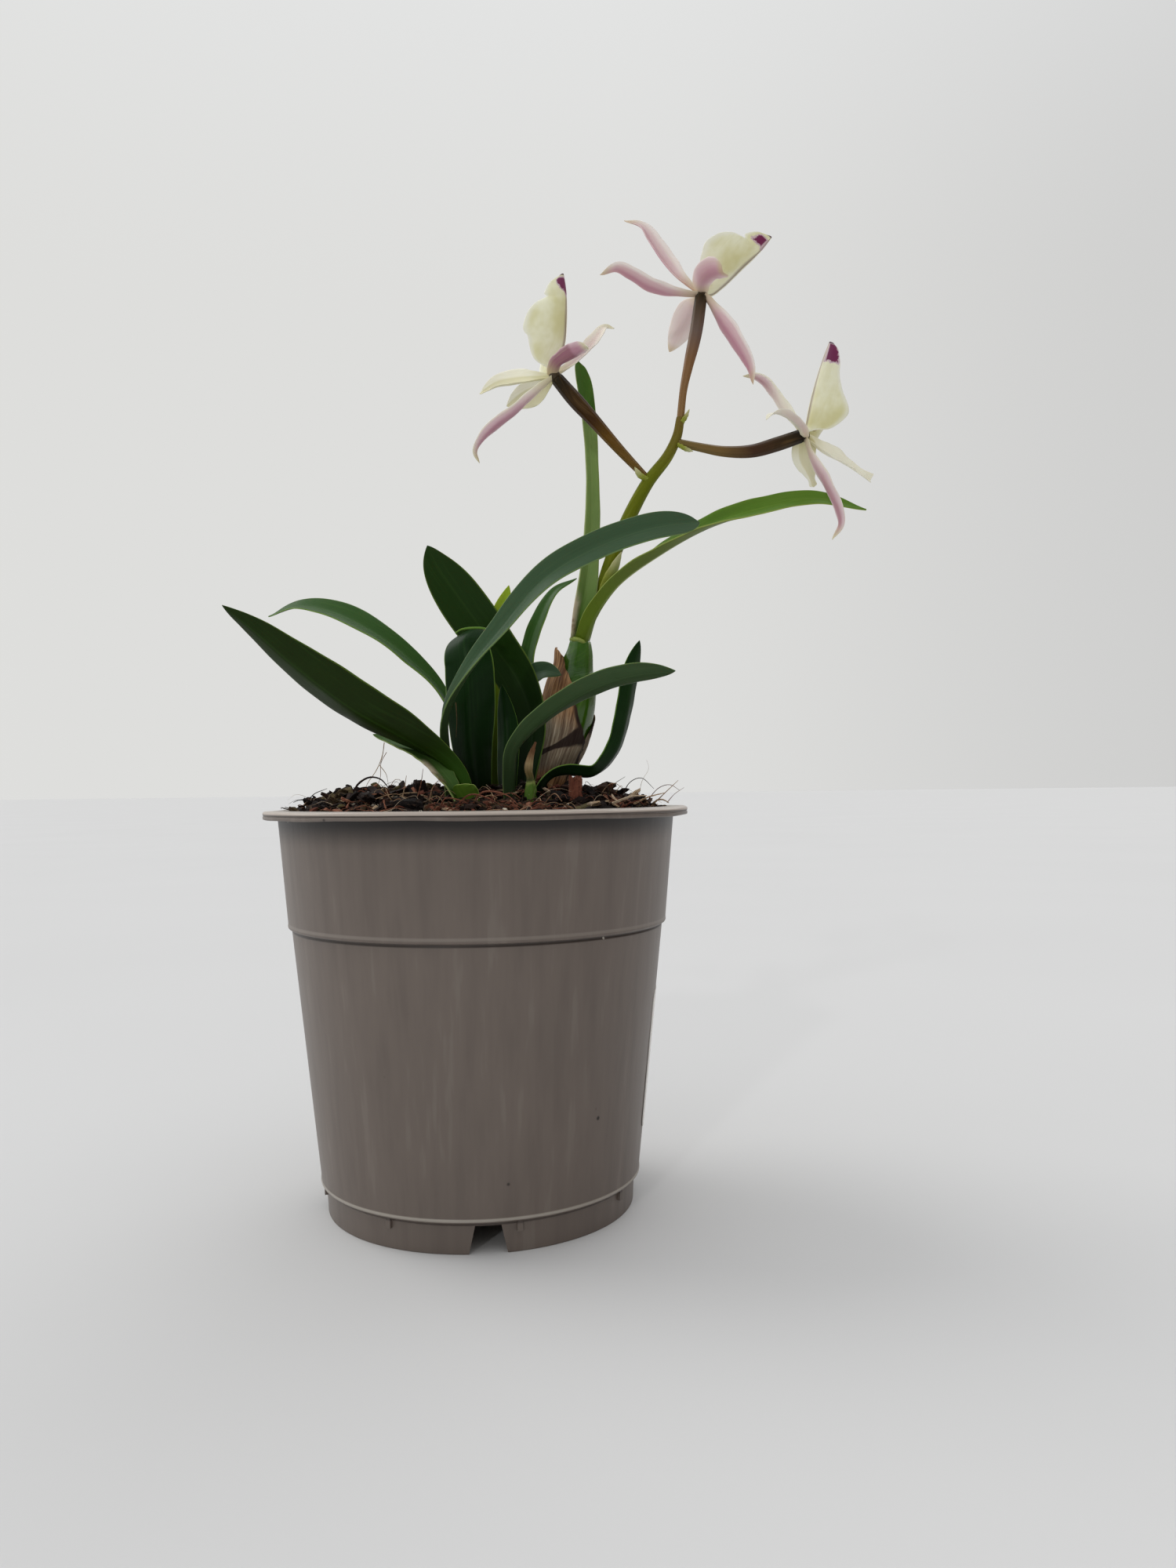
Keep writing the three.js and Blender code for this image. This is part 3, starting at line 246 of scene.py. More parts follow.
BLOOMS = {
    "left": {
        "heart": [23.6, -7.2, 233.4],
        "tepals": [
            {"spine": [[17.3, -11.1, 226.7], [12.4, -13.5, 221.3], [7.6, -15.3, 217.2],
                       [3.9, -16, 213.5], [1.8, -15.1, 210], [2.6, -14, 207.2]],
             "face": [[-0.6, 0.4, 0.7], [-0.8, 0.5, 0.2]], "width": 4.4, "tip": 3, "lean": 0.16,
             "fold": [35, 40], "blush": (0.3, 0.4, 0.7, 1.2, 1.4, 1.0, 0.4)},
            {"spine": [[17.1, -4.4, 233.5], [11.8, -0.6, 234], [6.4, 2.8, 234.4], [1.2, 5, 232.8]],
             "face": [[-0.2, -0.9, 0.5], [0, -0.9, 0.5]], "width": 8.2, "peak": 0.55, "wave": 0.1,
             "fold": [52, 44], "blush": -0.12},
            {"spine": [[22.4, -5.6, 233], [19, 0.4, 232.4], [14, 6.4, 232.2], [8.6, 12, 231.4]],
             "face": [-0.7, -0.5, -0.5], "width": 8, "blush": -0.12},
            {"spine": [[24.6, -10.8, 235.1], [27.7, -14, 236.1], [31, -17.5, 236.9],
                       [32.8, -19.5, 237.3]],
             "face": [[-0.5, 0.4, 0.8], [0.2, 0.4, 0.9]], "root": 5, "width": 6.6, "tip": 4, "lean": 0.2,
             "fold": [58, 40], "blush": (2.0, 2.1, 2.1, 1.5, 0.0)},
            {"spine": [[30.1, -2.7, 239.6], [33.3, 0.3, 243.9], [35.9, 2.3, 248], [38, 3.3, 251],
                       [40.9, 4, 251.2]],
             "face": [[-0.6, -0.7, 0.4], [-0.4, -0.7, 0.6]], "width": 6.4, "tip": 3.4,
             "blush": (0.9, 0.9, 0.8, 0.6, 0.1)},
        ],
        "lip": {"spine": [[23.4, -4, 237], [26, -3, 243.5], [26.8, -2, 252.5], [26.8, -1, 260],
                          [26.2, -0.6, 265.3]],
                "face": [[-1, 0.3, 0.2], [-1, 0.5, 0]], "width": 25.92, "lobes": LIP_LOBES},
        "mark": {"low": 0.79, "high": 0.965, "slant": 0.25, "near": -0.1, "far": 0.6},
        "column": [[22.4, -3.3, 237.6], [20.6, -1.8, 242], [20.2, -1.2, 246.5]],
        "tints": ((194, 146, 162), (222, 194, 200), (250, 247, 228), (206, 200, 146)),
    },
    "top": {
        "heart": [66.6, 6.4, 261.6],
        "tepals": [
            {"spine": [[59.5, 8.7, 268.5], [55.6, 10.9, 274.6], [52.5, 12.7, 280.6], [49.7, 14, 285.5],
                       [44.5, 15, 288]],
             "face": [0.4, -0.8, 0.4], "width": 7.6, "tip": 1.7, "lean": -0.42, "fold": [46, 40],
             "blush": (0.9, 1.3, 1.4, 1.2, 0.6)},
            {"spine": [[57.7, 2.6, 260.9], [51.3, -0.7, 261.4], [45.7, -3, 263.8], [41.6, -4.3, 265.1],
                       [36.7, -6, 262.5]],
             "face": [0.1, 0.5, 0.9], "width": 5.2, "tip": 2.6, "lean": 0.4,
             "blush": (0.3, 0.8, 1.3, 1.3, 1.0, 0.2)},
            {"spine": [[66, 8.6, 260.6], [63, 13.5, 258], [60.6, 17, 254.5], [58, 20, 250]],
             "face": [0.3, 0.7, 0.6],
             "width": 9, "peak": 0.4, "tip": 2.2, "blush": (0.3, 0.3, 0.25, 0.15)},
            {"spine": [[68, 5, 260], [71.6, 1.5, 252.6], [75.6, -0.6, 245], [79.4, -1, 238],
                       [80.6, -0.4, 232.8]],
             "face": [0.6, 0.6, 0.4], "width": 6.2, "lean": -0.3, "fold": [32, 34],
             "blush": (0.0, 0.6, 1.2, 1.4, 1.2, 0.8)},
            {"spine": [[66.2, 2.2, 263], [67.2, -1.9, 263.6], [69.4, -5.4, 263.2], [71.4, -8, 262]],
             "face": [[0.2, 0.6, 0.8], [0.3, 0.4, 0.9]], "width": 8.6, "fold": [44, 34],
             "lobes": ((0, 0.5), (0.3, 0.84), (0.6, 1), (0.82, 1), (0.92, 0.8), (1, 0.5)),
             "blush": (0.2, 0.6, 1.0, 1.0, 0.8)},
        ],
        "lip": {"spine": [[70.2, 9, 263], [74, 9.4, 266], [79.4, 10, 271.4], [84.4, 10, 276],
                          [88, 9.6, 280]],
                "face": [[-0.65, 0.2, 0.75], [-0.6, 0.4, 0.8]], "width": 27, "lobes": LIP_LOBES},
        "mark": {"low": 0.83, "high": 0.94, "slant": 0.0, "near": 0.12, "far": 0.66},
        "column": [[69, 10.2, 265], [71.6, 12.2, 269.6], [74.4, 13.4, 273]],
        "tints": ((202, 148, 164), (222, 190, 194), (250, 240, 234), (202, 182, 130)),
    },
    "right": {
        "heart": [96.2, 5.6, 219.6],
        "tepals": [
            {"spine": [[93.5, 8.1, 225.2], [90.7, 9.7, 229.7], [88.2, 11.2, 234.1], [85.8, 11.8, 237.5],
                       [83.1, 12, 239.3], [79.3, 12, 239.6]],
             "face": [[0.7, 0.6, 0.3], [0.3, 0.5, 0.8]], "width": 4.4, "tip": 2.6, "lean": 0.2,
             "blush": (0.15, 0.15, 0.2, 0.5, 1.0, 0.1)},
            {"spine": [[95.8, 2.6, 218.8], [94.9, 1.2, 220.2], [92.9, -0.8, 221.6], [89.9, -3.6, 222.5],
                       [87, -5.9, 222.7], [84.6, -7.6, 221.7], [82.9, -9, 219.9]],
             "face": [[0.3, 0.3, 0.9], [-0.3, -0.2, 0.9]],
             "width": 4.2, "peak": 0.6, "tip": 3, "lean": -0.4,
             "blush": (0.6, 0.5, 0.35, 0.2, 0.0)},
            {"spine": [[97.8, 2, 211.6], [100.3, -0.2, 205.7], [102.4, -2.2, 200], [104, -3, 195.4],
                       [104.5, -3, 191.6], [102.5, -2, 187.4]],
             "face": [[0.9, 0.4, 0.3], [0.9, 0.3, 0.2]], "width": 5, "tip": 3,
             "blush": (0.5, 0.7, 0.9, 1.2, 1.3, 0.3)},
            {"spine": [[102.4, 8.1, 215.5], [107.2, 9.7, 213.6], [111.9, 11, 211.1], [117, 12, 207.8]],
             "face": [0.3, -0.8, 0.6], "width": 6.8, "fold": [48, 36], "blush": 0.0,
             "lobes": ((0, 0.3), (0.25, 0.9), (0.45, 1), (0.66, 0.68), (0.84, 0.5), (0.94, 0.66),
                       (1, 0.8))},
            {"spine": [[96.9, 10.6, 215.3], [99.6, 17, 212.4], [102.2, 22.6, 208.9]],
             "face": [0, -0.6, -0.8], "width": 8.4, "blush": -0.12,
             "lobes": ((0, 0.5), (0.15, 0.9), (0.4, 0.8), (0.7, 0.46), (0.86, 0.26), (0.94, 0.3),
                       (1, 0.05))},
        ],
        "lip": {"spine": [[97.4, 8.6, 222.6], [99, 9, 230], [101.2, 9.4, 238], [103.2, 9.8, 244],
                          [105, 10, 248.8]],
                "face": [[1, 0.3, -0.2], [1, 0.5, -0.3]], "width": 24.2, "lobes": RIGHT_LOBES},
        "mark": {"low": 0.78, "high": 0.985, "slant": 0.03, "near": 0.16, "far": 0.92},
        "column": [[99.8, 9.6, 223], [103.4, 11, 227], [106, 12, 230.8]],
        "tints": ((188, 142, 152), (226, 202, 206), (251, 248, 228), (208, 200, 150)),
    },
}


# Curves
class Spine:
    """A smooth curve through points, read by its share of the length from 0 to 1."""

    def __init__(self, points, per_span=40):
        knots = [np.array(point, float) for point in points]
        knots = [2 * knots[0] - knots[1], *knots, 2 * knots[-1] - knots[-2]]
        t = np.linspace(0, 1, per_span, endpoint=False)[:, None]
        spans = []
        for a, b, c, d in zip(knots, knots[1:], knots[2:], knots[3:]):
            before, here, after = (math.sqrt(np.linalg.norm(q - p)) for p, q in ((a, b), (b, c), (c, d)))
            leave = ((b - a) / before - (c - a) / (before + here) + (c - b) / here) * here
            arrive = ((c - b) / here - (d - b) / (here + after) + (d - c) / after) * here
            spans.append(b + leave * t + (3 * (c - b) - 2 * leave - arrive) * t**2
                         + (2 * (b - c) + leave + arrive) * t**3)
        self.line = np.concatenate([*spans, knots[-2][None]])
        run = np.concatenate([[0], np.cumsum(np.linalg.norm(np.diff(self.line, axis=0), axis=1))])
        self.length = run[-1]
        self.share = run / run[-1]

    def at(self, u):
        return np.stack([np.interp(u, self.share, self.line[:, k]) for k in range(3)], axis=-1)

    def heading(self, u, reach=0.006):
        return unit(self.at(np.minimum(u + reach, 1)) - self.at(np.maximum(u - reach, 0)))


def unit(vectors):
    return vectors / np.maximum(np.linalg.norm(vectors, axis=-1, keepdims=True), 1e-9)


def smoothstep(x, low, high):
    t = np.clip((x - low) / (high - low), 0, 1)
    return t * t * (3 - 2 * t)


def spread(values, u):
    """Values given evenly from the root to the tip, read smoothly at u."""
    places = np.linspace(0, 1, len(values))
    fine = Spine([(p, v, 0) for p, v in zip(places, values)]).line
    return np.interp(u, fine[:, 0], fine[:, 1])


def circle(sides):
    """Angles all the way round, in equal steps."""
    return np.arange(sides) / sides * 2 * math.pi


def round_at(radius, angle, z):
    """Points round the axis, at height z."""
    return np.stack(np.broadcast_arrays(radius * np.cos(angle), radius * np.sin(angle), z), axis=-1)


def flat(*grids):
    """Three grids of values as one row of three for each point."""
    return np.stack(np.broadcast_arrays(*grids), axis=-1).reshape(-1, 3)


# Meshes
class Form:
    """Points in millimetres, faces, and what the materials read at each point.

    "place" is where the point is on its blade or stem, from root to tip and side to side, "reach" is
    the same in metres, and "tone" picks a colour.
    """

    def __init__(self):
        self.points, self.faces, self.place, self.reach, self.tone = [], [], [], [], []
        self.count = 0

    def add(self, points, faces, place=None, reach=None, tone=0.0):
        points = np.asarray(points, float)
        size = len(points)
        self.points.append(points)
        self.faces += [[self.count + corner for corner in face] for face in faces]
        self.place.append(np.zeros((size, 3)) if place is None else place)
        self.reach.append(points * MM if reach is None else reach)
        self.tone.append(np.full(size, tone, float))
        self.count += size
        return self


def tube_faces(rings, sides):
    """Faces of a closed tube of rings, both ends shut."""
    faces = []
    for ring in range(rings - 1):
        for k in range(sides):
            a, b = ring * sides + k, ring * sides + (k + 1) % sides
            faces.append((a, b, b + sides, a + sides))
    faces.append(tuple(range(sides))[::-1])
    faces.append(tuple(range((rings - 1) * sides, rings * sides)))
    return faces


def mesh_of(name, form):
    mesh = bpy.data.meshes.new(name)
    mesh.from_pydata((np.concatenate(form.points) * MM).tolist(), [], form.faces)
    for label, values in (("place", form.place), ("reach", form.reach)):
        layer = mesh.attributes.new(label, "FLOAT_VECTOR", "POINT")
        layer.data.foreach_set("vector", np.concatenate(values).ravel())
    tone = mesh.attributes.new("tone", "FLOAT", "POINT")
    tone.data.foreach_set("value", np.concatenate(form.tone))
    outward = bmesh.new()
    outward.from_mesh(mesh)
    bmesh.ops.recalc_face_normals(outward, faces=outward.faces)
    outward.to_mesh(mesh)
    outward.free()
    return mesh


def show(name, data):
    made = bpy.data.objects.new(name, data)
    bpy.context.collection.objects.link(made)
    return made


def piece(name, shape, material, node=None, crease=None):
    """Adds one piece of the plant or pot, smooth-shaded, with edges sharper than "crease" kept."""
    mesh = mesh_of(name, shape) if isinstance(shape, Form) else shape
    mesh.materials.clear()
    mesh.materials.append(material)
    mesh.shade_smooth()
    if crease is not None:
        mesh.set_sharp_from_angle(angle=math.radians(crease))
    made = show(name, mesh)
    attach(made, "root")
    if node:
        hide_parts(node)


# Blades and stems
SLIMMEST = 0.09  # least half-width of a blade
TIP_CROWDING = 1.5  # above 1, the steps along a blade lie closer together near its tip
BLUNTNESS = 2.2  # how square a tip is that has no value of its own
FOLD_STEPS = 60
CAP_STEPS = 4
POLE = 0.01  # radius left at the very ends of a stem, as a share
PATTERN_SHIFT = 0.37  # metres between the patterns of two seeds


def outline_of(shape, u):
    """Half-width of a blade at u."""
    width = shape["width"]
    if "lobes" in shape:
        fine = Spine([(place, share, 0) for place, share in shape["lobes"]]).line
        return np.maximum(width / 2 * np.interp(u, fine[:, 0], fine[:, 1]), SLIMMEST)
    peak = shape["peak"]
    growing = shape["root"] + (width - shape["root"]) * smoothstep(u, 0, peak)
    beyond = np.clip((u - peak) / (1 - peak), 0, 1)
    closing = width * (1 - beyond ** shape.get("tip", BLUNTNESS)) ** 0.85
    return np.maximum(np.where(u < peak, growing, closing) / 2, SLIMMEST)


def upper_side(faces, u, heading):
    faces = np.atleast_2d(np.array(faces, float))
    if len(faces) == 1:
        faces = np.repeat(faces, 2, axis=0)
    turn = np.minimum(u * (len(faces) - 1), len(faces) - 1.001)
    first = turn.astype(int)
    up = faces[first] + (faces[first + 1] - faces[first]) * (turn - first)[:, None]
    return unit(up - heading * np.sum(up * heading, axis=1, keepdims=True))


def cross_section(s, bend, crease):
    """Where a folded blade's middle skin runs, for each bend: sideways, upwards and its slope."""
    steps = np.linspace(0, 1, FOLD_STEPS + 1)
    slope = bend[:, None] * (1 - np.exp(-steps / crease))
    index = np.abs(s) * FOLD_STEPS
    low = np.minimum(index.astype(int), FOLD_STEPS - 1)
    part = index - low

    def run(way):
        summed = np.cumsum(way(slope[:, 1:]), axis=1) * steps[1]
        return read(np.concatenate([np.zeros((len(bend), 1)), summed], axis=1))

    def read(table):
        return table[:, low] * (1 - part) + table[:, low + 1] * part

    return run(np.cos) * np.sign(s), run(np.sin), read(slope) * np.sign(s)


def blade(form, shape, steps, sides, thickness, keel=0.0, wave=0.0, waves=4.0, seed=0, crease=0.12,
          tone=0.0, lean=0.0):
    """A leaf, tepal or lip: a thin skin folded along a spine, with rounded margins."""
    spine = Spine(shape["spine"])
    u = 1 - (1 - np.linspace(0, 1, steps + 1)) ** TIP_CROWDING
    along = u[:, None]
    heading = spine.heading(u)
    up = upper_side(shape["face"], u, heading)
    side = np.cross(heading, up)
    half = outline_of(shape, u)[:, None]
    s, above = np.cos(circle(sides)), np.sin(circle(sides))
    first, last = shape["fold"]
    bend = np.radians(first + (last - first) * u) * np.minimum(1, half[:, 0] / (2.5 * thickness))
    out, rise, slope = cross_section(s, bend, crease)
    skin = thickness / 2 * np.sign(above) * np.abs(above) ** 0.55 * (1 - 0.55 * along**5)
    skin = np.minimum(np.abs(skin), half) * np.sign(skin)
    skin = skin - keel * (above < 0) * np.exp(-((s * half / 0.8) ** 2)) * (1 - along)
    phase = along * math.pi * 2 * waves + seed * 1.7 + np.sign(s) * 1.3
    ruffle = wave * np.abs(s) ** 2.5 * (np.sin(phase) + 0.5 * np.sin(phase * 2.3 + seed)) * (1 - along**4)
    across = (out * half - np.sin(slope) * skin)[..., None]
    raised = (rise * half + np.cos(slope) * skin + ruffle)[..., None]
    points = spine.at(u)[:, None] + side[:, None] * across + up[:, None] * raised
    tones = np.repeat(spread(tone, u), sides) if isinstance(tone, tuple) else tone
    form.add(points.reshape(-1, 3), tube_faces(steps + 1, sides), flat(s - lean, along, (above > 0) * 1.0),
             flat(s * half * MM, along * spine.length * MM, seed * PATTERN_SHIFT), tones)
    return form


def tube(form, spine, radii, steps, sides, ridges=0, ridge=0.0, dome=0.6, seed=0):
    """A round stem along a spine, with domed ends. "radii" are spread evenly along it."""
    spine = Spine(spine)
    turns = np.linspace(0, math.pi / 2, CAP_STEPS + 1)
    opening, closing = turns[:-1], turns[1:]
    u = np.concatenate([np.zeros(CAP_STEPS), np.linspace(0, 1, steps + 1), np.ones(CAP_STEPS)])
    ends = np.concatenate([np.sin(opening) + POLE, np.ones(steps + 1), np.cos(closing) + POLE])
    radius = (spread(radii, u) * ends)[:, None]
    shift = np.concatenate([-np.cos(opening) * radii[0], np.zeros(steps + 1), np.sin(closing) * radii[-1]])
    heading = spine.heading(u)
    middle = spine.at(u) + heading * (shift * dome)[:, None]
    side = np.zeros_like(heading)
    current = np.array([1.0, 0, 0])
    for k, ahead in enumerate(heading):
        current = unit(current - ahead * current.dot(ahead))
        side[k] = current
    other = np.cross(heading, side)
    angle = circle(sides)
    swell = radius + ridge * np.cos(angle * ridges + seed) * (radius > 0.5)
    points = (middle[:, None] + side[:, None] * (swell * np.cos(angle))[..., None]
              + other[:, None] * (swell * np.sin(angle))[..., None])
    form.add(points.reshape(-1, 3), tube_faces(len(u), sides), flat(angle / math.pi - 1, u[:, None], 0.5),
             flat(angle * radius * MM, u[:, None] * spine.length * MM, seed * PATTERN_SHIFT))
    return form


# Materials. Colours are given as 0 to 255 on a screen.
def srgb(red, green, blue):
    channel = lambda c: c / 12.92 if c <= 0.04045 else ((c + 0.055) / 1.055) ** 2.4
    return tuple(channel(c / 255) for c in (red, green, blue)) + (1.0,)


def paint(colour):
    """A screen colour as the shaders read it, and anything else as it is."""
    return srgb(*colour) if isinstance(colour, tuple) and len(colour) == 3 else colour


class Pattern:
    """The few steps that colours and relief are made of, in one tree of nodes."""

    def __init__(self, tree):
        self.nodes, self.links = tree.nodes, tree.links

    def put(self, socket, value):
        if isinstance(value, bpy.types.NodeSocket):
            self.links.new(value, socket)
        else:
            socket.default_value = value

    def node(self, kind, settings=None, **inputs):
        made = self.nodes.new("ShaderNode" + kind)
        for label, value in (settings or {}).items():
            setattr(made, label, value)
        for label, value in inputs.items():
            self.put(made.inputs[label], value)
        return made

    def read(self, attribute, output="Vector"):
        return self.node("Attribute", {"attribute_name": attribute}).outputs[output]

    def split(self, vector):
        made = self.node("SeparateXYZ", Vector=vector)
        return [made.outputs[axis] for axis in "XYZ"]

    def noise(self, vector, scale, detail=3.0, roughness=0.55, distortion=0.0):
        return self.node("TexNoise", Vector=vector, Scale=scale, Detail=detail, Roughness=roughness,
                         Distortion=distortion).outputs["Fac"]

    def streaks(self, factors, *settings, vector=None):
        """Noise that is drawn out where a factor is below 1: across the piece, along it or through it."""
        source = self.read("reach") if vector is None else vector
        return self.noise(self.node("Mapping", Vector=source, Scale=factors).outputs["Vector"], *settings)

    def band(self, value, low, high):
        """0 below low and 1 above high, or the other way round where low is the greater."""
        made = self.node("MapRange", {"interpolation_type": "SMOOTHSTEP"}, Value=value)
        ends = (low, high, 0.0, 1.0) if low < high else (high, low, 1.0, 0.0)
        for label, end in zip(("From Min", "From Max", "To Min", "To Max"), ends):
            made.inputs[label].default_value = end
        return made.outputs["Result"]

    def math(self, operation, a, b=0.0):
        made = self.node("Math", {"operation": operation})
        self.put(made.inputs[0], a)
        self.put(made.inputs[1], b)
        return made.outputs["Value"]

    def times(self, first, *others):
        for other in others:
            first = self.math("MULTIPLY", first, other)
        return first

    def scale(self, value, low, high):
        """A number from 0 to 1 turned into one from low to high."""
        return self.math("ADD", self.math("MULTIPLY", value, high - low), low)

    def stir(self, value, noise, reach):
        """The value, made uneven by up to the reach either way."""
        return self.math("ADD", value, self.scale(noise, -reach, reach))

    def mix(self, share, a, b, blend="MIX"):
        made = self.node("Mix", {"data_type": "RGBA", "blend_type": blend})
        for index, value in ((0, share), (6, paint(a)), (7, paint(b))):
            self.put(made.inputs[index], value)
        return made.outputs[2]

    def lay(self, colour, tint, share, *where):
        """The colour with a share of a tint over it, where each of the other values is 1."""
        return self.mix(self.times(*where, share), colour, tint)

    def ramp(self, value, stops):
        made = self.node("ValToRGB", Fac=value)
        elements = made.color_ramp.elements
        while len(elements) < len(stops):
            elements.new(0.5)
        for element, (place, colour) in zip(elements, stops):
            element.position, element.color = place, paint(colour)
        return made.outputs["Color"]


class Surface(Pattern):
    """A node-based material."""

    def __init__(self, name, roughness=0.5, **constants):
        self.material = bpy.data.materials.new(name)
        self.material.use_nodes = True
        super().__init__(self.material.node_tree)
        self.shader = self.nodes["Principled BSDF"]
        self.put(self.shader.inputs["Roughness"], roughness)
        for label, value in constants.items():
            self.put(self.shader.inputs[label.replace("_", " ")], value)

    def relief(self, *heights):
        """Bump from pairs of a height and the depth in metres that it stands for."""
        normal = None
        for height, depth in heights:
            made = self.node("Bump", Height=height, Distance=depth, Strength=1.0)
            if normal is not None:
                self.links.new(normal, made.inputs["Normal"])
            normal = made.outputs["Normal"]
        self.put(self.shader.inputs["Normal"], normal)

    def finish(self, colour, roughness=None):
        self.put(self.shader.inputs["Base Color"], colour)
        if roughness is not None:
            self.put(self.shader.inputs["Roughness"], roughness)
        return self.material


FLESH = {"Subsurface_Weight": 0.04, "Subsurface_Scale": 0.002}


def leaf_skin(name, upper, under, margin, vein, base, gloss=0.42, reach_up=0.3, rib=None, crown=None,
              dry=None):
    """Leaf: long fine veins, a paler midrib and thin pale margins, and a waxy, slightly mottled shine.

    "base" colours the foot up to reach_up (on the tall, deep, mid, blue and lime skins this near-black foot
    is painted shade deep in the clump), "crown" the part near the tip, and "dry" is the side, place and
    length of a withered patch on the margin.
    """
    made = Surface(name, Specular_IOR_Level=0.1, **FLESH)
    across, along, top = made.split(made.read("place"))
    reach = made.read("reach")
    veins = made.streaks((1, 0.03, 1), 1500, 2)
    mottle = made.noise(reach, 130, 4, 0.6)
    cloud = made.streaks((1, 0.25, 1), 90)
    from_middle = made.math("ABSOLUTE", across)
    deep = tuple(channel / 2 for channel in srgb(*upper)[:3]) + (1.0,)
    colour = made.mix(top, under, upper)
    colour = made.lay(colour, deep, 0.4, made.band(cloud, 0.5, 0.7))
    colour = made.mix(made.scale(mottle, 0.0, 0.3), colour, vein)
    colour = made.lay(colour, vein, 0.3, made.band(veins, 0.5, 0.75))
    colour = made.lay(colour, vein, 0.4, made.band(from_middle, 0.07, 0.0))
    if rib:
        colour = made.lay(colour, rib, 0.75, made.band(from_middle, 0.12, 0.03),
                          made.band(along, 0.5, 0.34))
    # On the tall, deep, mid, blue and lime skins this foot colour is painted shade deep in the clump; on
    # the others it is the leaf's own foot colour
    colour = made.lay(colour, base, 0.85, made.band(along, reach_up, reach_up * 0.2))
    if crown:
        tint, low, high = crown
        colour = made.lay(colour, tint, 0.85, made.band(along, low, high))
    colour = made.lay(colour, margin, 0.75, made.band(from_middle, 0.93, 0.985))
    if dry:
        side, centre, length = dry
        away = made.math("ABSOLUTE", made.math("SUBTRACT", along, centre))
        patch = made.mix(made.band(mottle, 0.4, 0.6), (112, 84, 56), (196, 186, 160))
        colour = made.lay(colour, patch, 1.0, made.band(away, length, length * 0.4),
                          made.band(across, side * 0.1, side * 0.8),
                          made.band(made.noise(reach, 90), 0.35, 0.5))
    made.relief((veins, 0.00006), (mottle, 0.00015))
    return made.finish(colour, made.scale(mottle, gloss - 0.1, gloss + 0.16))


def stem_skin(name, stages, fleck, gloss=0.35, shine=0.4, bract=None):
    """Stalk or bulb: colours that change from foot to top, with faint long streaks and pale flecks."""
    made = Surface(name, Specular_IOR_Level=shine, **FLESH)
    _, along, _ = made.split(made.read("place"))
    streaks = made.streaks((1, 0.06, 1), 900)
    mottle = made.streaks((1, 0.5, 1), 420, 4, 0.65)
    specks = made.noise(made.read("reach"), 1500, 2)
    colour = made.ramp(made.stir(along, mottle, 0.04), stages)
    colour = made.lay(colour, fleck, 0.4, made.band(streaks, 0.5, 0.75))
    colour = made.lay(colour, fleck, 0.6, made.band(specks, 0.68, 0.74))
    if bract:
        edge = made.mix(made.band(along, 0.4, 0.9), bract, (200, 198, 150))
        colour = made.mix(made.read("tone", "Fac"), colour, edge)
    made.relief((streaks, 0.00008), (mottle, 0.00006))
    return made.finish(colour, made.scale(mottle, gloss - 0.05, gloss + 0.15))


def petal_skin(name, mauve, rosy, pale, khaki):
    """Tepal: cream at the margins, rosy to mauve along the back, and khaki at the base and tip."""
    made = Surface(name, 0.5, Subsurface_Weight=0.1, Subsurface_Scale=0.001,
                   Subsurface_Radius=(1.0, 0.8, 0.7), Specular_IOR_Level=0.25)
    across, along, top = made.split(made.read("place"))
    tone = made.read("tone", "Fac")
    veins = made.streaks((1, 0.05, 1), 1700, 2)
    cloud = made.streaks((1, 0.6, 1), 260)
    ragged = made.stir(made.math("ABSOLUTE", across), veins, 0.16)
    strength = made.times(tone, made.scale(cloud, 0.75, 1.2), made.scale(top, 1.0, 0.55))
    colour = made.mix(made.times(made.band(ragged, 1.25, 0.7), strength), pale, rosy)
    colour = made.lay(colour, mauve, 0.85, made.band(ragged, 0.8, 0.1), strength)
    colour = made.lay(colour, (146, 90, 104), 0.7, made.band(tone, 1.6, 1.9), made.band(ragged, 0.95, 0.6))
    base = made.times(made.band(along, 0.34, 0.06), 0.6)
    tip = made.times(made.band(along, 0.84, 0.98), made.scale(made.band(tone, 0.0, 0.2), 0.15, 0.6))
    colour = made.mix(made.math("ADD", base, tip), colour, khaki)
    colour = made.lay(colour, khaki, 0.16, made.band(veins, 0.5, 0.75))
    # Painted shade: khaki over one half of the tepals whose blush is below 0, the half that lies in shade
    colour = made.lay(colour, khaki, 0.55, made.band(tone, -0.02, -0.1), made.band(across, 0.5, 0.3))
    colour = made.mix(made.band(tone, -0.2, -0.8), colour, (66, 54, 36))
    made.relief((veins, 0.00004), (cloud, 0.0001))
    return made.finish(colour, made.scale(cloud, 0.42, 0.62))


LIP_CREAM, LIP_SHADE = (242, 241, 212), (218, 214, 162)
# The magenta mark of a lip, from its pale border inwards: how much wider, in what colour and how strong
MARK_LAYERS = ((0.03, (188, 146, 184), 0.65), (0.0, (112, 14, 74), 1.0))


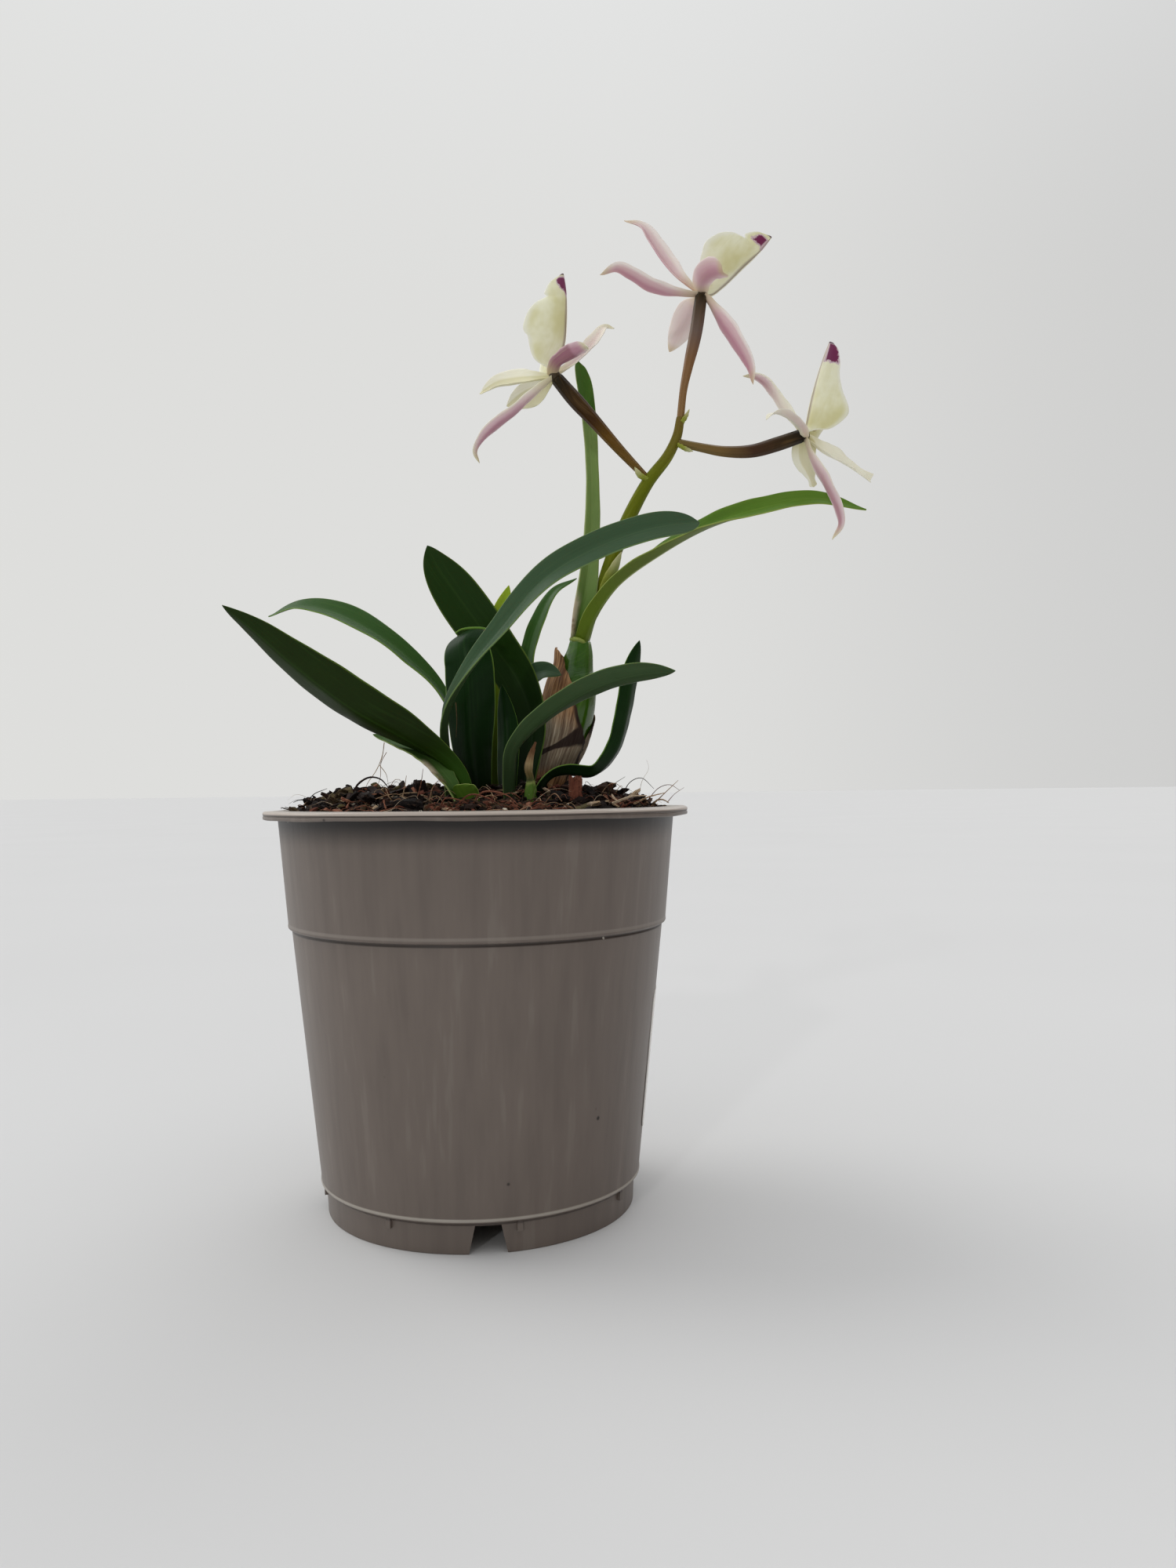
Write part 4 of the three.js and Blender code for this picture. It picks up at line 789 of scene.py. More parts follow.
def lip_skin(name, spot):
    """Lip: greenish cream, whitish at the margin, with faint veins, a dark keel and a magenta mark."""
    made = Surface(name, 0.4, Subsurface_Weight=0.12, Subsurface_Scale=0.001,
                   Subsurface_Radius=(1.0, 0.9, 0.6))
    across, along, top = made.split(made.read("place"))
    veins = made.streaks((1, 0.12, 1), 700, 3, 0.6, 0.4)
    cloud = made.streaks((1, 0.6, 1), 130)
    grain = made.noise(made.read("reach"), 900, 4)
    from_middle = made.math("ABSOLUTE", across)
    colour = made.mix(made.band(cloud, 0.35, 0.7), LIP_CREAM, LIP_SHADE)
    colour = made.lay(colour, LIP_SHADE, 0.22, made.band(veins, 0.52, 0.68))
    colour = made.lay(colour, (248, 248, 236), 0.6, made.band(from_middle, 0.8, 0.98))
    colour = made.lay(colour, (112, 78, 76), 0.75, made.band(from_middle, 0.1, 0.0),
                      made.scale(top, 1.0, 0.0))
    slanted = made.math("SUBTRACT", along, made.times(from_middle, spot["slant"]))
    slanted, far = made.stir(slanted, grain, 0.04), made.stir(from_middle, grain, 0.2)
    for grow, tint, share in MARK_LAYERS:
        begin, finish = spot["low"] - grow * 0.6, spot["high"] + grow * 0.5
        near, width = spot["near"] - grow * 4, spot["far"] + grow * 3
        colour = made.lay(colour, tint, share, made.band(slanted, begin, begin + 0.012),
                          made.band(along, finish, finish - 0.012), made.band(far, width, width - 0.08),
                          made.band(from_middle, near, near + 0.06))
    colour = made.mix(made.band(along, 0.975, 0.995), colour, (74, 30, 58))
    made.relief((veins, 0.00005), (cloud, 0.0002))
    return made.finish(colour, made.scale(cloud, 0.32, 0.5))


BARK_STAGES = ((0, (18, 13, 12)), (0.25, (40, 28, 24)), (0.4, (70, 47, 38)), (0.52, (96, 88, 56)),
               (0.62, (112, 62, 48)), (0.74, (150, 96, 74)), (0.86, (190, 160, 126)), (1, (232, 224, 206)))


def bark_skin():
    """Bark, fibre and grit of the growing mix, each bit in its own tone, with a broken, grainy face."""
    made = Surface("growing_mix_bits", 0.9, Specular_IOR_Level=0.2)
    reach = made.read("reach")
    grain = made.streaks((0.12, 1, 1), 1500, 4, 0.7)
    rough = made.noise(reach, 700, 5, 0.7)
    colour = made.ramp(made.stir(made.read("tone", "Fac"), rough, 0.09), BARK_STAGES)
    colour = made.lay(colour, (64, 44, 36), 0.5, made.band(made.noise(reach, 160), 0.55, 0.7))
    colour = made.lay(colour, (134, 104, 84), 0.5, made.band(grain, 0.56, 0.74))
    colour = made.lay(colour, (14, 10, 9), 0.7, made.band(grain, 0.46, 0.3))
    made.relief((grain, 0.0005), (rough, 0.0006))
    return made.finish(colour, made.scale(rough, 0.7, 1.0))


FIBRE_STAGES = ((0.3, (64, 50, 38)), (0.44, (122, 104, 86)), (0.56, (158, 144, 122)),
                (0.74, (214, 202, 180)))


def sheath_skin():
    """Papery sheath: tan and grey-brown fibres that run up the bulb, with a dark, damp border."""
    made = Surface("dry_sheath", 0.75, Specular_IOR_Level=0.25)
    _, along, _ = made.split(made.read("place"))
    fibres = made.streaks((1, 0.04, 1), 1600, 4, 0.7)
    broad = made.streaks((1, 0.15, 1), 260)
    colour = made.ramp(fibres, FIBRE_STAGES)
    rusty = made.mix(made.band(fibres, 0.3, 0.7), (88, 48, 22), (204, 150, 96))
    upper = made.band(made.stir(along, broad, 0.15), 0.42, 0.62)
    foot = made.band(made.stir(along, broad, 0.05), 0.22, 0.14)
    colour = made.lay(colour, rusty, 0.8, made.math("ADD", upper, foot))
    ragged = made.stir(made.stir(made.read("tone", "Fac"), broad, 0.5), fibres, 0.3)
    colour = made.lay(colour, (34, 17, 13), 0.94, made.band(ragged, 0.3, 0.8))
    made.relief((fibres, 0.0002), (broad, 0.0003))
    return made.finish(colour, made.scale(fibres, 0.6, 0.85))


# Thin painted lines of shade and highlight round the pot, at the step, the shoulder and the rim lip: height
# and reach in metres, colour and strength
POT_PAINTED_LINES = ((0.0786, 0.0004, (44, 36, 32), 0.8), (0.0803, 0.0004, (140, 132, 124), 0.5),
             (0.0091, 0.00035, (176, 170, 160), 0.7), (0.0079, 0.0004, (46, 38, 34), 0.6),
             (0.11125, 0.0005, (206, 194, 183), 0.75), (0.1105, 0.00018, (70, 62, 56), 0.8))
# Specks: how close together, how large, which share is left out, and their colour
POT_SPECKS = ((150, 0.11, 0.955, (34, 26, 22)), (90, 0.07, 0.95, (30, 22, 20)),
              (170, 0.08, 0.95, (196, 190, 180)))


def pot_skin():
    """Moulded plastic: taupe, satin, streaked and scratched, with painted shade under the rim and painted
    shade and highlight lines at the step, shoulder and rim lip.
    """
    made = Surface("pot_plastic", 0.42, Specular_IOR_Level=0.45)
    place = made.node("TexCoord").outputs["Object"]
    x, y, z = made.split(place)
    radius = made.math("SQRT", made.math("ADD", made.times(x, x), made.times(y, y)))
    cloud = made.noise(place, 28)
    streaks = made.streaks((1, 1, 0.06), 240, vector=place)
    grain = made.noise(place, 2600, 2)
    colour = made.mix(cloud, (103, 93, 86), (114, 103, 95))
    colour = made.lay(colour, (86, 77, 71), 0.35, made.band(streaks, 0.4, 0.75))
    colour = made.lay(colour, (132, 124, 116), 0.25, made.band(streaks, 0.42, 0.3))
    # Painted shadow under the rim: near black just below the lip, fading out over about 8 mm
    painted_rim_shadow = made.times(made.band(z, 0.1012, 0.1092), made.band(radius, 0.0582, 0.0575))
    colour = made.lay(colour, (20, 12, 8), 0.97, painted_rim_shadow)
    # Painted shade lines in the recesses and painted highlight lines on the edges, at the step, the
    # shoulder and the rim lip
    for height, reach, tint, share in POT_PAINTED_LINES:
        away = made.math("ABSOLUTE", made.math("SUBTRACT", z, height))
        colour = made.lay(colour, tint, share, made.band(away, reach * 1.5, reach * 0.5))
    for scale, size, chosen, tint in POT_SPECKS:
        dots = made.node("TexVoronoi", Vector=place, Scale=scale, Randomness=1.0)
        picked = made.node("SeparateColor", Color=dots.outputs["Color"]).outputs["Red"]
        colour = made.lay(colour, tint, 1.0, made.band(dots.outputs["Distance"], size, size * 0.4),
                          made.band(picked, chosen, chosen + 0.01))
    made.relief((grain, 0.00002), (streaks, 0.00006))
    return made.finish(colour, made.scale(cloud, 0.34, 0.48))


def label_skin():
    """Blank sticker: coated white paper, faintly fibrous."""
    made = Surface("label_paper", 0.55)
    fibre = made.noise(made.node("TexCoord").outputs["Object"], 900, 4)
    colour = made.mix(made.times(fibre, 0.4), (246, 245, 241), (226, 223, 216))
    made.relief((fibre, 0.00004))
    return made.finish(colour, made.scale(fibre, 0.45, 0.65))


# Pot
def wall_radius(z):
    share = (z - POT["shoulder_height"]) / (POT["step_height"] - POT["shoulder_height"])
    return POT["shoulder"] + (POT["step"] - POT["shoulder"]) * share


def rounded(profile, radius=0.35, steps=3):
    """The profile with each corner that is off the axis rounded."""
    points = [np.array(p, float) for p in profile]
    made = []
    for i, here in enumerate(points):
        if here[0] == 0:
            made.append(tuple(here))
            continue
        before, after = points[i - 1], points[(i + 1) % len(points)]
        cut = min(radius, np.linalg.norm(before - here) / 2.2, np.linalg.norm(after - here) / 2.2)
        start = here + unit(before - here) * cut
        end = here + unit(after - here) * cut
        for k in range(steps + 1):
            t = k / steps
            made.append(tuple(start * (1 - t) ** 2 + here * 2 * t * (1 - t) + end * t**2))
    return made


def inner_profile(inset):
    step, run = POT["step_height"], POT["step_run"]
    foot, low = POT["foot"] - inset, POT["shoulder_height"]
    return [(0, POT["floor"]), (foot - 0.2, POT["floor"]), (foot, low - 1.2),
            (POT["shoulder"] - inset, low + 1.2), (POT["step"] - inset, step - run),
            (POT["band_foot"] - inset, step + run)]


def pot_profile():
    height, rim, lip, top = POT["height"], POT["rim"], POT["lip_thickness"], POT["band_top"]
    step, shoulder, foot = POT["step_height"], POT["shoulder_height"], POT["foot"]
    low, groove = height - POT["lip_height"], height - 1.2
    wide, wall, band = POT["shoulder"], POT["step"], POT["band_foot"]
    outside = [
        (0, 0), (foot, 0), (foot + 0.4, shoulder - 1.6), (wide - 0.5, shoulder - 0.9),
        (wide + 0.2, shoulder - 0.35), (wide + 0.2, shoulder + 0.25), (wide + 0.03, shoulder + 0.6),
        (wall - 0.02, step - 1.0), (wall - 0.25, step - 0.6), (wall - 0.1, step - 0.2),
        (band - 0.1, step - 0.1), (band + 0.12, step + 0.35), (band + 0.02, step + 1.2),
        (top, height - lip), (rim - lip, height - lip), (rim - lip, low), (rim - 0.12, low),
        (rim, low + 0.25), (rim, groove - 0.16), (rim - 0.25, groove), (rim, groove + 0.16),
        (rim, height - 0.3), (rim - 0.5, height), (top - POT["wall"], height),
    ]
    return rounded(outside + inner_profile(POT["wall"])[::-1])


def lathe(profile, sides):
    """A solid of revolution, slightly wavy at the rim. The profile starts and ends on the axis."""
    ring = [p for p in profile if p[0] > 0]
    angle = circle(sides)
    radius, z = (column[:, None] for column in np.array(ring).T)
    sag = sum(depth * np.sin(angle * count + start) for depth, count, start in RIM_WAVES) - RIM_SAG
    at_rim = smoothstep(radius, POT["band_top"], POT["rim"] - POT["lip_thickness"])
    points = round_at(radius, angle, z + at_rim * sag)
    return Form().add(points.reshape(-1, 3), tube_faces(len(ring), sides))


def turned(points, degrees):
    angle = math.radians(degrees)
    cos, sin = math.cos(angle), math.sin(angle)
    spin = np.array([[cos, -sin, 0], [sin, cos, 0], [0, 0, 1]])
    return np.asarray(points, float) @ spin.T


BOX_FACES = [(0, 1, 2, 3), (7, 6, 5, 4), (0, 4, 5, 1), (1, 5, 6, 2), (2, 6, 7, 3), (3, 7, 4, 0)]


def repeated(shape, points, faces=BOX_FACES):
    """The same block, repeated round the axis."""
    form = Form()
    for index in range(shape["count"]):
        form.add(turned(points, shape["turn"] + index * 360 / shape["count"]), faces)
    return form


def block(outline, depths):
    """Corners of a block: its outline, at two depths in front of the axis."""
    return [(x, -depth, z) for depth in depths for x, z in outline]


def channels(outer, grow, low_end):
    """The drain channels: long trapezoid blocks from near the middle out through the foot."""
    low, high, top = NOTCH["at_ground"] / 2 + grow, NOTCH["at_top"] / 2 + grow, NOTCH["height"] + grow
    outline = ((-low, low_end), (low, low_end), (high, top), (-high, top))
    return repeated(NOTCH, block(outline, (NOTCH["inner"] - grow, outer)))


def drain_holes():
    rings = [round_at(DRAIN["radius"], circle(DRAIN["sides"]), DRAIN[end]) for end in ("from", "to")]
    points = np.concatenate(rings) - (0, DRAIN["distance"], 0)
    return repeated(NOTCH, points, tube_faces(2, DRAIN["sides"]))


def stacking_nubs():
    half, top = NUB["width"] / 2, POT["shoulder_height"] - 0.9
    outline = ((-half, top - NUB["height"]), (half, top - NUB["height"]), (half, top), (-half, top))
    return repeated(NUB, block(outline, (POT["foot"] - 0.6, POT["foot"] + 0.3 + NUB["depth"])))


def boolean(base, tool, operation):
    """base with tool added or taken away, as a new mesh."""
    first, second = (show("work", mesh) for mesh in (base, tool))
    change = first.modifiers.new("change", "BOOLEAN")
    change.object, change.operation, change.solver = second, operation, "EXACT"
    result = bpy.data.meshes.new_from_object(first.evaluated_get(bpy.context.evaluated_depsgraph_get()))
    for made in (first, second):
        bpy.data.objects.remove(made)
    return result


def build_pot():
    mesh = mesh_of("shell", lathe(pot_profile(), POT["sides"]))
    for name, form, operation in (("roofs", channels(POT["foot"] - 0.4, NOTCH["wall"], 0.5), "UNION"),
                                  ("nubs", stacking_nubs(), "UNION"),
                                  ("tunnels", channels(POT["rim"], 0.0, -1.0), "DIFFERENCE"),
                                  ("holes", drain_holes(), "DIFFERENCE")):
        mesh = boolean(mesh, mesh_of(name, form), operation)
    mesh.name = "pot_moulding"
    piece("pot_moulding", mesh, pot_skin(), "pot", crease=38)


def bite(from_side):
    """How much lower the sticker's rounded corner leaves it, this far from its side."""
    corner = LABEL["corner"]
    return corner - math.sqrt(corner**2 - max(0.0, corner - from_side) ** 2)


def skin_faces(columns, rows, count):
    """Faces of two facing skins, each a grid of columns by rows, joined along their border."""
    tall = rows + 1
    faces = []
    for i in range(columns):
        for j in range(rows):
            a = i * tall + j
            faces.append((a, a + 1, a + tall + 1, a + tall))
            faces.append(tuple(k + count for k in (a, a + tall, a + tall + 1, a + 1)))
    border = ([(i * tall, (i + 1) * tall) for i in range(columns)]
              + [(columns * tall + j, columns * tall + j + 1) for j in range(rows)]
              + [((i + 1) * tall + rows, i * tall + rows) for i in range(columns)]
              + [(j + 1, j) for j in range(rows)])
    return faces + [(a, b, b + count, a + count) for a, b in border]


def build_label():
    """The blank sticker, with its left edge just off the wall."""
    columns, rows, low = LABEL["columns"], LABEL["rows"], LABEL["low"]
    first, last = math.radians(LABEL["from"]), math.radians(LABEL["to"])
    around_wall = (last - first) * wall_radius(low)
    points = []
    for height in (LABEL["off_wall"], LABEL["off_wall"] + LABEL["thickness"]):
        for share in 0.5 - 0.5 * np.cos(np.linspace(0, math.pi, columns + 1)):
            angle = first + (last - first) * share
            cut = bite(min(share, 1 - share) * around_wall)
            peel = LABEL["lift"] * (1 - smoothstep(share * around_wall, 0, LABEL["lifted"]))
            for up in np.linspace(0, 1, rows + 1):
                z = low + cut + (LABEL["high"] - low - 2 * cut) * up
                radius = wall_radius(z) + height + peel * (1 - 0.6 * up)
                points.append((radius * math.sin(angle), -radius * math.cos(angle), z))
    form = Form().add(points, skin_faces(columns, rows, len(points) // 2))
    piece("blank_sticker", form, label_skin(), "blank_label", crease=50)


# Growing mix
def mound_height(x, y):
    from_edge = POT["band_top"] - np.hypot(x, y)
    dome = MIX["edge"] + MIX["crown"] * smoothstep(from_edge, 0, MIX["shoulder"])
    ripple = np.sin(x * 0.42 + 1.3) * np.cos(y * 0.37) + np.sin((x + y) * 0.71)
    return dome + MIX["ripple"] * ripple * smoothstep(from_edge, 1, 8) - MIX["dip"] * in_front(x, y)


def in_front(x, y):
    """1 in the flatter part of the mix before the leaves, and 0 away from it."""
    return smoothstep(-y, 10, 26) * smoothstep(np.abs(x - 6), 36, 20)


def crumbs(x, y):
    """Coarse and fine unevenness of the top of the mix at one place."""
    coarse, fine = (noise.noise(Vector((x * scale, y * scale, layer)))
                    for scale, layer in ((0.55, 3.0), (1.3, 9.0)))
    return coarse + 0.6 * fine


def mound(form):
    """The mix itself, from its crumbly top down inside the pot."""
    sides, rings = MIX["sides"], MIX["rings"]
    edge = POT["band_top"] - POT["wall"] - 0.15
    angle = circle(sides)
    below = ((POT["step"] - 1.2, 70.0), (POT["band_foot"] - 0.4, 81.5))
    layers = [round_at(radius - POT["wall"], angle, z) for radius, z in below]
    for ring in range(rings):
        radius = edge * (1 - ring / rings)
        x, y = radius * np.cos(angle), radius * np.sin(angle)
        crumb = np.array([crumbs(*place) for place in zip(x, y)])
        layers.append(round_at(radius, angle, mound_height(x, y) + crumb * 0.9 - 0.5))
    form.add(np.concatenate(layers), tube_faces(len(layers), sides), tone=0.1)


def flake(form, rng, at, size, tilt, tone, rings, sides):
    """A torn bit of bark: flat, split along its grain, with ragged ends."""
    share = np.linspace(-1, 1, rings)
    angle = circle(sides)
    long, wide, thick = np.array(size) / 2
    taper = (1 - 0.45 * np.abs(share) ** 3) * rng.uniform(0.7, 1.2, rings)
    split = rng.uniform(0.6, 1.25, sides)
    uneven = taper[:, None] * split * rng.uniform(0.8, 1.2, (rings, sides))
    x = share[:, None] * long + rng.uniform(-0.5, 0.5, (rings, sides)) * long / rings
    bend = rng.uniform(-0.25, 0.25) * long * share[:, None] ** 2
    local = np.stack([x, np.cos(angle) * wide * uneven, np.sin(angle) * thick * uneven + bend], axis=-1)
    local = local.reshape(-1, 3)
    spin = np.array(Euler(tilt).to_matrix())
    shift = rng.uniform(0, 0.05, 3)
    form.add(local @ spin.T + np.array(at), tube_faces(rings, sides), reach=local * MM + shift, tone=tone)


# Bark: the tones and how common each is. Then the layers from coarse to fine, with their number, shortest
# and longest bits, rise above the mix, rings and sides.
BARK_TONES = (0.02, 0.1, 0.2, 0.34, 0.44, 0.52, 0.62, 0.74, 0.88)
BARK_SHARES = (0.18, 0.18, 0.17, 0.15, 0.08, 0.05, 0.1, 0.06, 0.03)
BARK_LAYERS = ((170, 5.0, 10.0, (-0.2, 2.4), 7, 7), (700, 2.4, 5.0, (0.2, 3.0), 5, 6),
               (1600, 0.8, 2.6, (0.6, 3.2), 4, 5))
# Fibres, in layers of a number, lengths, rises, thicknesses and tones
FIBRE_LAYERS = ((260, (3, 9), (0.2, 2.4), (0.1, 0.3), (0.05, 0.2, 0.44, 0.62, 0.74)),
                (120, (4, 11), (1.0, 4.6), (0.06, 0.16), (0.3, 0.62, 0.84, 0.9)),
                (60, (4, 9), (0.3, 2.0), (0.2, 0.42), (0.8, 0.86, 0.74)))
RED_FIBRES, PERLITE = 300, 34


def scatter_place(rng, reach):
    distance, angle = reach * math.sqrt(rng.random()), rng.random() * 2 * math.pi
    return distance * math.cos(angle), distance * math.sin(angle)


def flakes(form, rng, count, low, high, lift, rings, sides):
    """Bits of bark all over the mix, smaller towards the wall of the pot."""
    inside = POT["band_top"] - POT["wall"] - 0.4
    for _ in range(count):
        x, y = scatter_place(rng, inside - low * 0.45)
        from_wall = inside - math.hypot(x, y)
        length = min(rng.uniform(low, high), 1.6 + from_wall * 1.1)
        size = (length, length * rng.uniform(0.25, 0.7), length * rng.uniform(0.1, 0.32))
        front = float(in_front(x, y))
        steep = 1 - 0.5 * front
        tilt = (rng.uniform(-0.9, 0.9) * steep, rng.uniform(-0.8, 0.8) * steep, rng.uniform(0, 6.28))
        raised = rng.uniform(*lift) * min(1.0, 0.3 + from_wall / 14) * (1 - 0.8 * front)
        z = float(mound_height(x, y)) + raised + size[2] * 0.2
        tone = rng.choice(BARK_TONES, p=BARK_SHARES)
        flake(form, rng, (x, y, z), size, tilt, tone, rings, sides)


def thread(form, line, thick, tone, steps=9):
    """A thin root or fibre: a tapering four-sided tube along a curve."""
    spine = Spine(line)
    u = np.linspace(0, 1, steps)
    heading = spine.heading(u, 0.05)
    side = unit(np.cross(heading, (0.3, 0.2, 1.0)))
    other = np.cross(heading, side)
    radius = (thick * (1.05 - 0.75 * u))[:, None, None]
    angle = circle(4)
    ring = side[:, None] * np.cos(angle)[:, None] + other[:, None] * np.sin(angle)[:, None]
    points = spine.at(u)[:, None] + ring * radius
    form.add(points.reshape(-1, 3), tube_faces(steps, 4), tone=tone)


def inside_pot(point, reach=55.0):
    """The point, drawn in where it would pass through the wall below the rim."""
    away = math.hypot(point[0], point[1])
    if away < reach or point[2] > POT["height"] + 1:
        return point
    return point[0] * reach / away, point[1] * reach / away, point[2]


def fibres(form, rng, count, lengths, rises, thin, tones):
    """Fine roots and torn bark fibres that lie on the mix and stick out of it."""
    for _ in range(count):
        x, y = scatter_place(rng, 52)
        z = float(mound_height(x, y)) + rng.uniform(-0.2, 1.2)
        length, turn, rise = rng.uniform(*lengths), rng.uniform(0, 6.28), rng.uniform(*rises)
        curl = rng.uniform(-1.2, 1.2)
        line = []
        for t in (0, 0.25, 0.5, 0.75, 1):
            way = turn + curl * t
            line.append(inside_pot((x + math.cos(way) * length * t, y + math.sin(way) * length * t,
                                    z + rise * math.sin(t * 2.4) + rng.uniform(-0.3, 0.3))))
        thread(form, line, rng.uniform(*thin), rng.choice(tones))


def grit(form, rng, count):
    """White bits of perlite."""
    for _ in range(count):
        x, y = scatter_place(rng, 50)
        size = rng.uniform(0.7, 1.9)
        z = float(mound_height(x, y)) + size * 0.5
        flake(form, rng, (x, y, z), (size, size * 0.9, size * 0.7), (0, 0, rng.uniform(0, 6)), 0.98, 5, 7)


# Strands that stand out in the view from the front, by their points, thickness and tone
STRANDS = (
    ([[-3.9, -20.6, 140.5], [-3.6, -21.2, 136], [-3.9, -21, 131]], 0.16, 0.55),
    ([[-33.4, -14, 116.4], [-31.6, -14, 119], [-28.6, -14, 120.6], [-25.6, -14, 120],
      [-23.6, -14, 117.8]], 0.4, 0.22),
    ([[-34, -15, 115], [-31, -15, 117.6], [-27, -15, 117.4], [-24, -14, 115.8]], 0.3, 0.1),
    ([[-25.2, -10, 130.4], [-25.8, -10, 126.6], [-27.4, -10.5, 122.6], [-29.8, -12, 118.6],
      [-30.6, -12, 115.6]], 0.16, 0.88),
    ([[-24.6, -10, 127.6], [-26.2, -10, 124.6], [-26.4, -10, 120.6], [-28, -12, 116]], 0.12, 0.8),
    ([[-26.6, -10, 124], [-24.6, -11, 121.4], [-24, -11, 118.4]], 0.12, 0.88),
    ([[-47, -14, 112.6], [-44, -15, 116], [-40, -16, 117.6]], 0.22, 0.12),
    ([[-15, -20, 113.6], [-13.4, -22, 118.4], [-12.6, -23, 122.6]], 0.2, 0.74),
    ([[-11, -24, 112.8], [-9.6, -26, 117.6], [-7, -27, 120.4]], 0.24, 0.8),
    ([[-19, -22, 113], [-17.6, -24, 117], [-16.8, -25, 120.8]], 0.22, 0.86),
    ([[37, -10, 113], [38.4, -12, 117.4], [42, -12, 120]], 0.16, 0.5),
    ([[41, -8, 114], [43.4, -9, 118.4], [46.6, -10, 119.6], [50, -11, 116.6]], 0.18, 0.3),
    ([[48, -10, 113], [51.4, -12, 116.8], [54.4, -13, 117.6], [57, -14, 116]], 0.16, 0.62),
    ([[44, -22, 112.6], [48, -24, 114.4], [52, -25, 115.4]], 0.34, 0.86),
    ([[38, -30, 112.8], [43, -31, 114.6], [47, -32, 114.8]], 0.4, 0.9),
    ([[50, -14, 112.6], [53, -16, 115.6], [56.4, -17, 118.8]], 0.22, 0.84),
    ([[46, -4, 113], [47, -4, 118.6], [49, -4, 122.4], [48.4, -4, 124.8]], 0.08, 0.9),
    ([[54, -6, 112.6], [56, -8, 115], [58.6, -9, 116.8]], 0.14, 0.7),
    ([[20, -36, 112.6], [23, -38, 115.6], [25, -40, 113.6]], 0.22, 0.8),
    ([[-2, -40, 112.8], [2, -42, 115.6], [7, -43, 114.4], [10, -43, 112.6]], 0.3, 0.66),
    ([[2, -38, 113], [5, -41, 116.2], [11, -42, 115.4], [14, -42, 112.8]], 0.3, 0.72),
    ([[-6, -40, 112.6], [-4, -43, 114.8], [1, -44, 113.8]], 0.26, 0.7),
)


def red_fibre(form, rng, count):
    """The tangle of reddish bark fibre and crumbs in the middle of the front."""
    for index in range(count):
        x, y = rng.uniform(-10, 24), rng.uniform(-51, -34)
        z = float(mound_height(x, y)) + rng.uniform(0, 1.0)
        tone = rng.choice((0.6, 0.66, 0.72, 0.44))
        if index % 4:
            size = rng.uniform(0.9, 3.0)
            tilt = rng.uniform(-0.8, 0.8, 3) + (0, 0, rng.uniform(0, 6))
            flake(form, rng, (x, y, z), (size, size * 0.55, size * 0.4), tuple(tilt), tone, 4, 5)
            continue
        turn, length = rng.uniform(-0.9, 0.9), rng.uniform(2, 6)
        line = [(x + math.cos(turn) * length * t, y + math.sin(turn) * length * t,
                 z + math.sin(t * 3.1) + rng.uniform(-0.4, 0.4)) for t in (0, 0.35, 0.7, 1)]
        thread(form, [inside_pot(point) for point in line], rng.uniform(0.12, 0.3), tone)


def build_mix(bark):
    rng = np.random.default_rng(41)
    form = Form()
    mound(form)
    for layer in BARK_LAYERS:
        flakes(form, rng, *layer)
    for layer in FIBRE_LAYERS:
        fibres(form, rng, *layer)
    red_fibre(form, rng, RED_FIBRES)
    for line, thick, tone in STRANDS:
        thread(form, line, thick, tone, 16)
    grit(form, rng, PERLITE)
    piece("growing_mix_top", form, bark, "growing_mix", crease=20)


def rough_block(form, rng, at, size, tilt, tone, ragged=0.18):
    """A larger piece of bark with a split, uneven face on every side."""
    work = bmesh.new()
    bmesh.ops.create_cube(work, size=1.0)
    bmesh.ops.subdivide_edges(work, edges=work.edges, cuts=6, use_grid_fill=True)
    spin = np.array(Euler(tilt).to_matrix())
    seed = rng.uniform(0, 50)
    local = []
    for v in work.verts:
        p = np.array(v.co) * size
        low = noise.noise(Vector((p[0] * 0.5, p[1] * 0.5, p[2] * 0.16 + seed)))
        fine = noise.noise(Vector((p[0] * 1.7, p[1] * 1.7, p[2] * 0.35 + seed)))
        out = unit(np.array(v.co) * (1, 1, 0.3))
        top = ragged * size[2] * fine if abs(v.co.z) > 0.49 else 0
        local.append(p + out * (0.5 * low + 0.5 * fine) * min(size) * 0.34 + np.array([0, 0, top]))
    faces = [tuple(v.index for v in face.verts) for face in work.faces]
    work.free()
    local = np.array(local)
    grain = local[:, [2, 0, 1]] * MM + seed
    form.add(local @ spin.T + np.array(at), faces, reach=grain, tone=tone)


def build_accents(bark):
    rng = np.random.default_rng(7)
    for name, node, slot, at, size, tilt, tone in (
        ("bark_stub_split", "bark_stub", "bark_red", (28, -20, 114.9), (3.2, 2.8, 9.6),
         (0.08, 0.03, 0.3), 0.66),
        ("bark_chip_on_end", "bark_chip_upright", "growing_mix", (-14.5, -12, 115.2), (3.0, 2.4, 7.8),
         (0.1, -0.3, 0.5), 0.2),
        ("bark_chip_flat", "bark_chip_olive", "bark_olive", (-37, -15, 114.4), (8.4, 6.0, 3.2),
         (0.35, -0.35, 0.2), 0.53),
    ):
        form = Form()
        rough_block(form, rng, at, np.array(size), tilt, tone)
        piece(name, form, bark, node, crease=60)
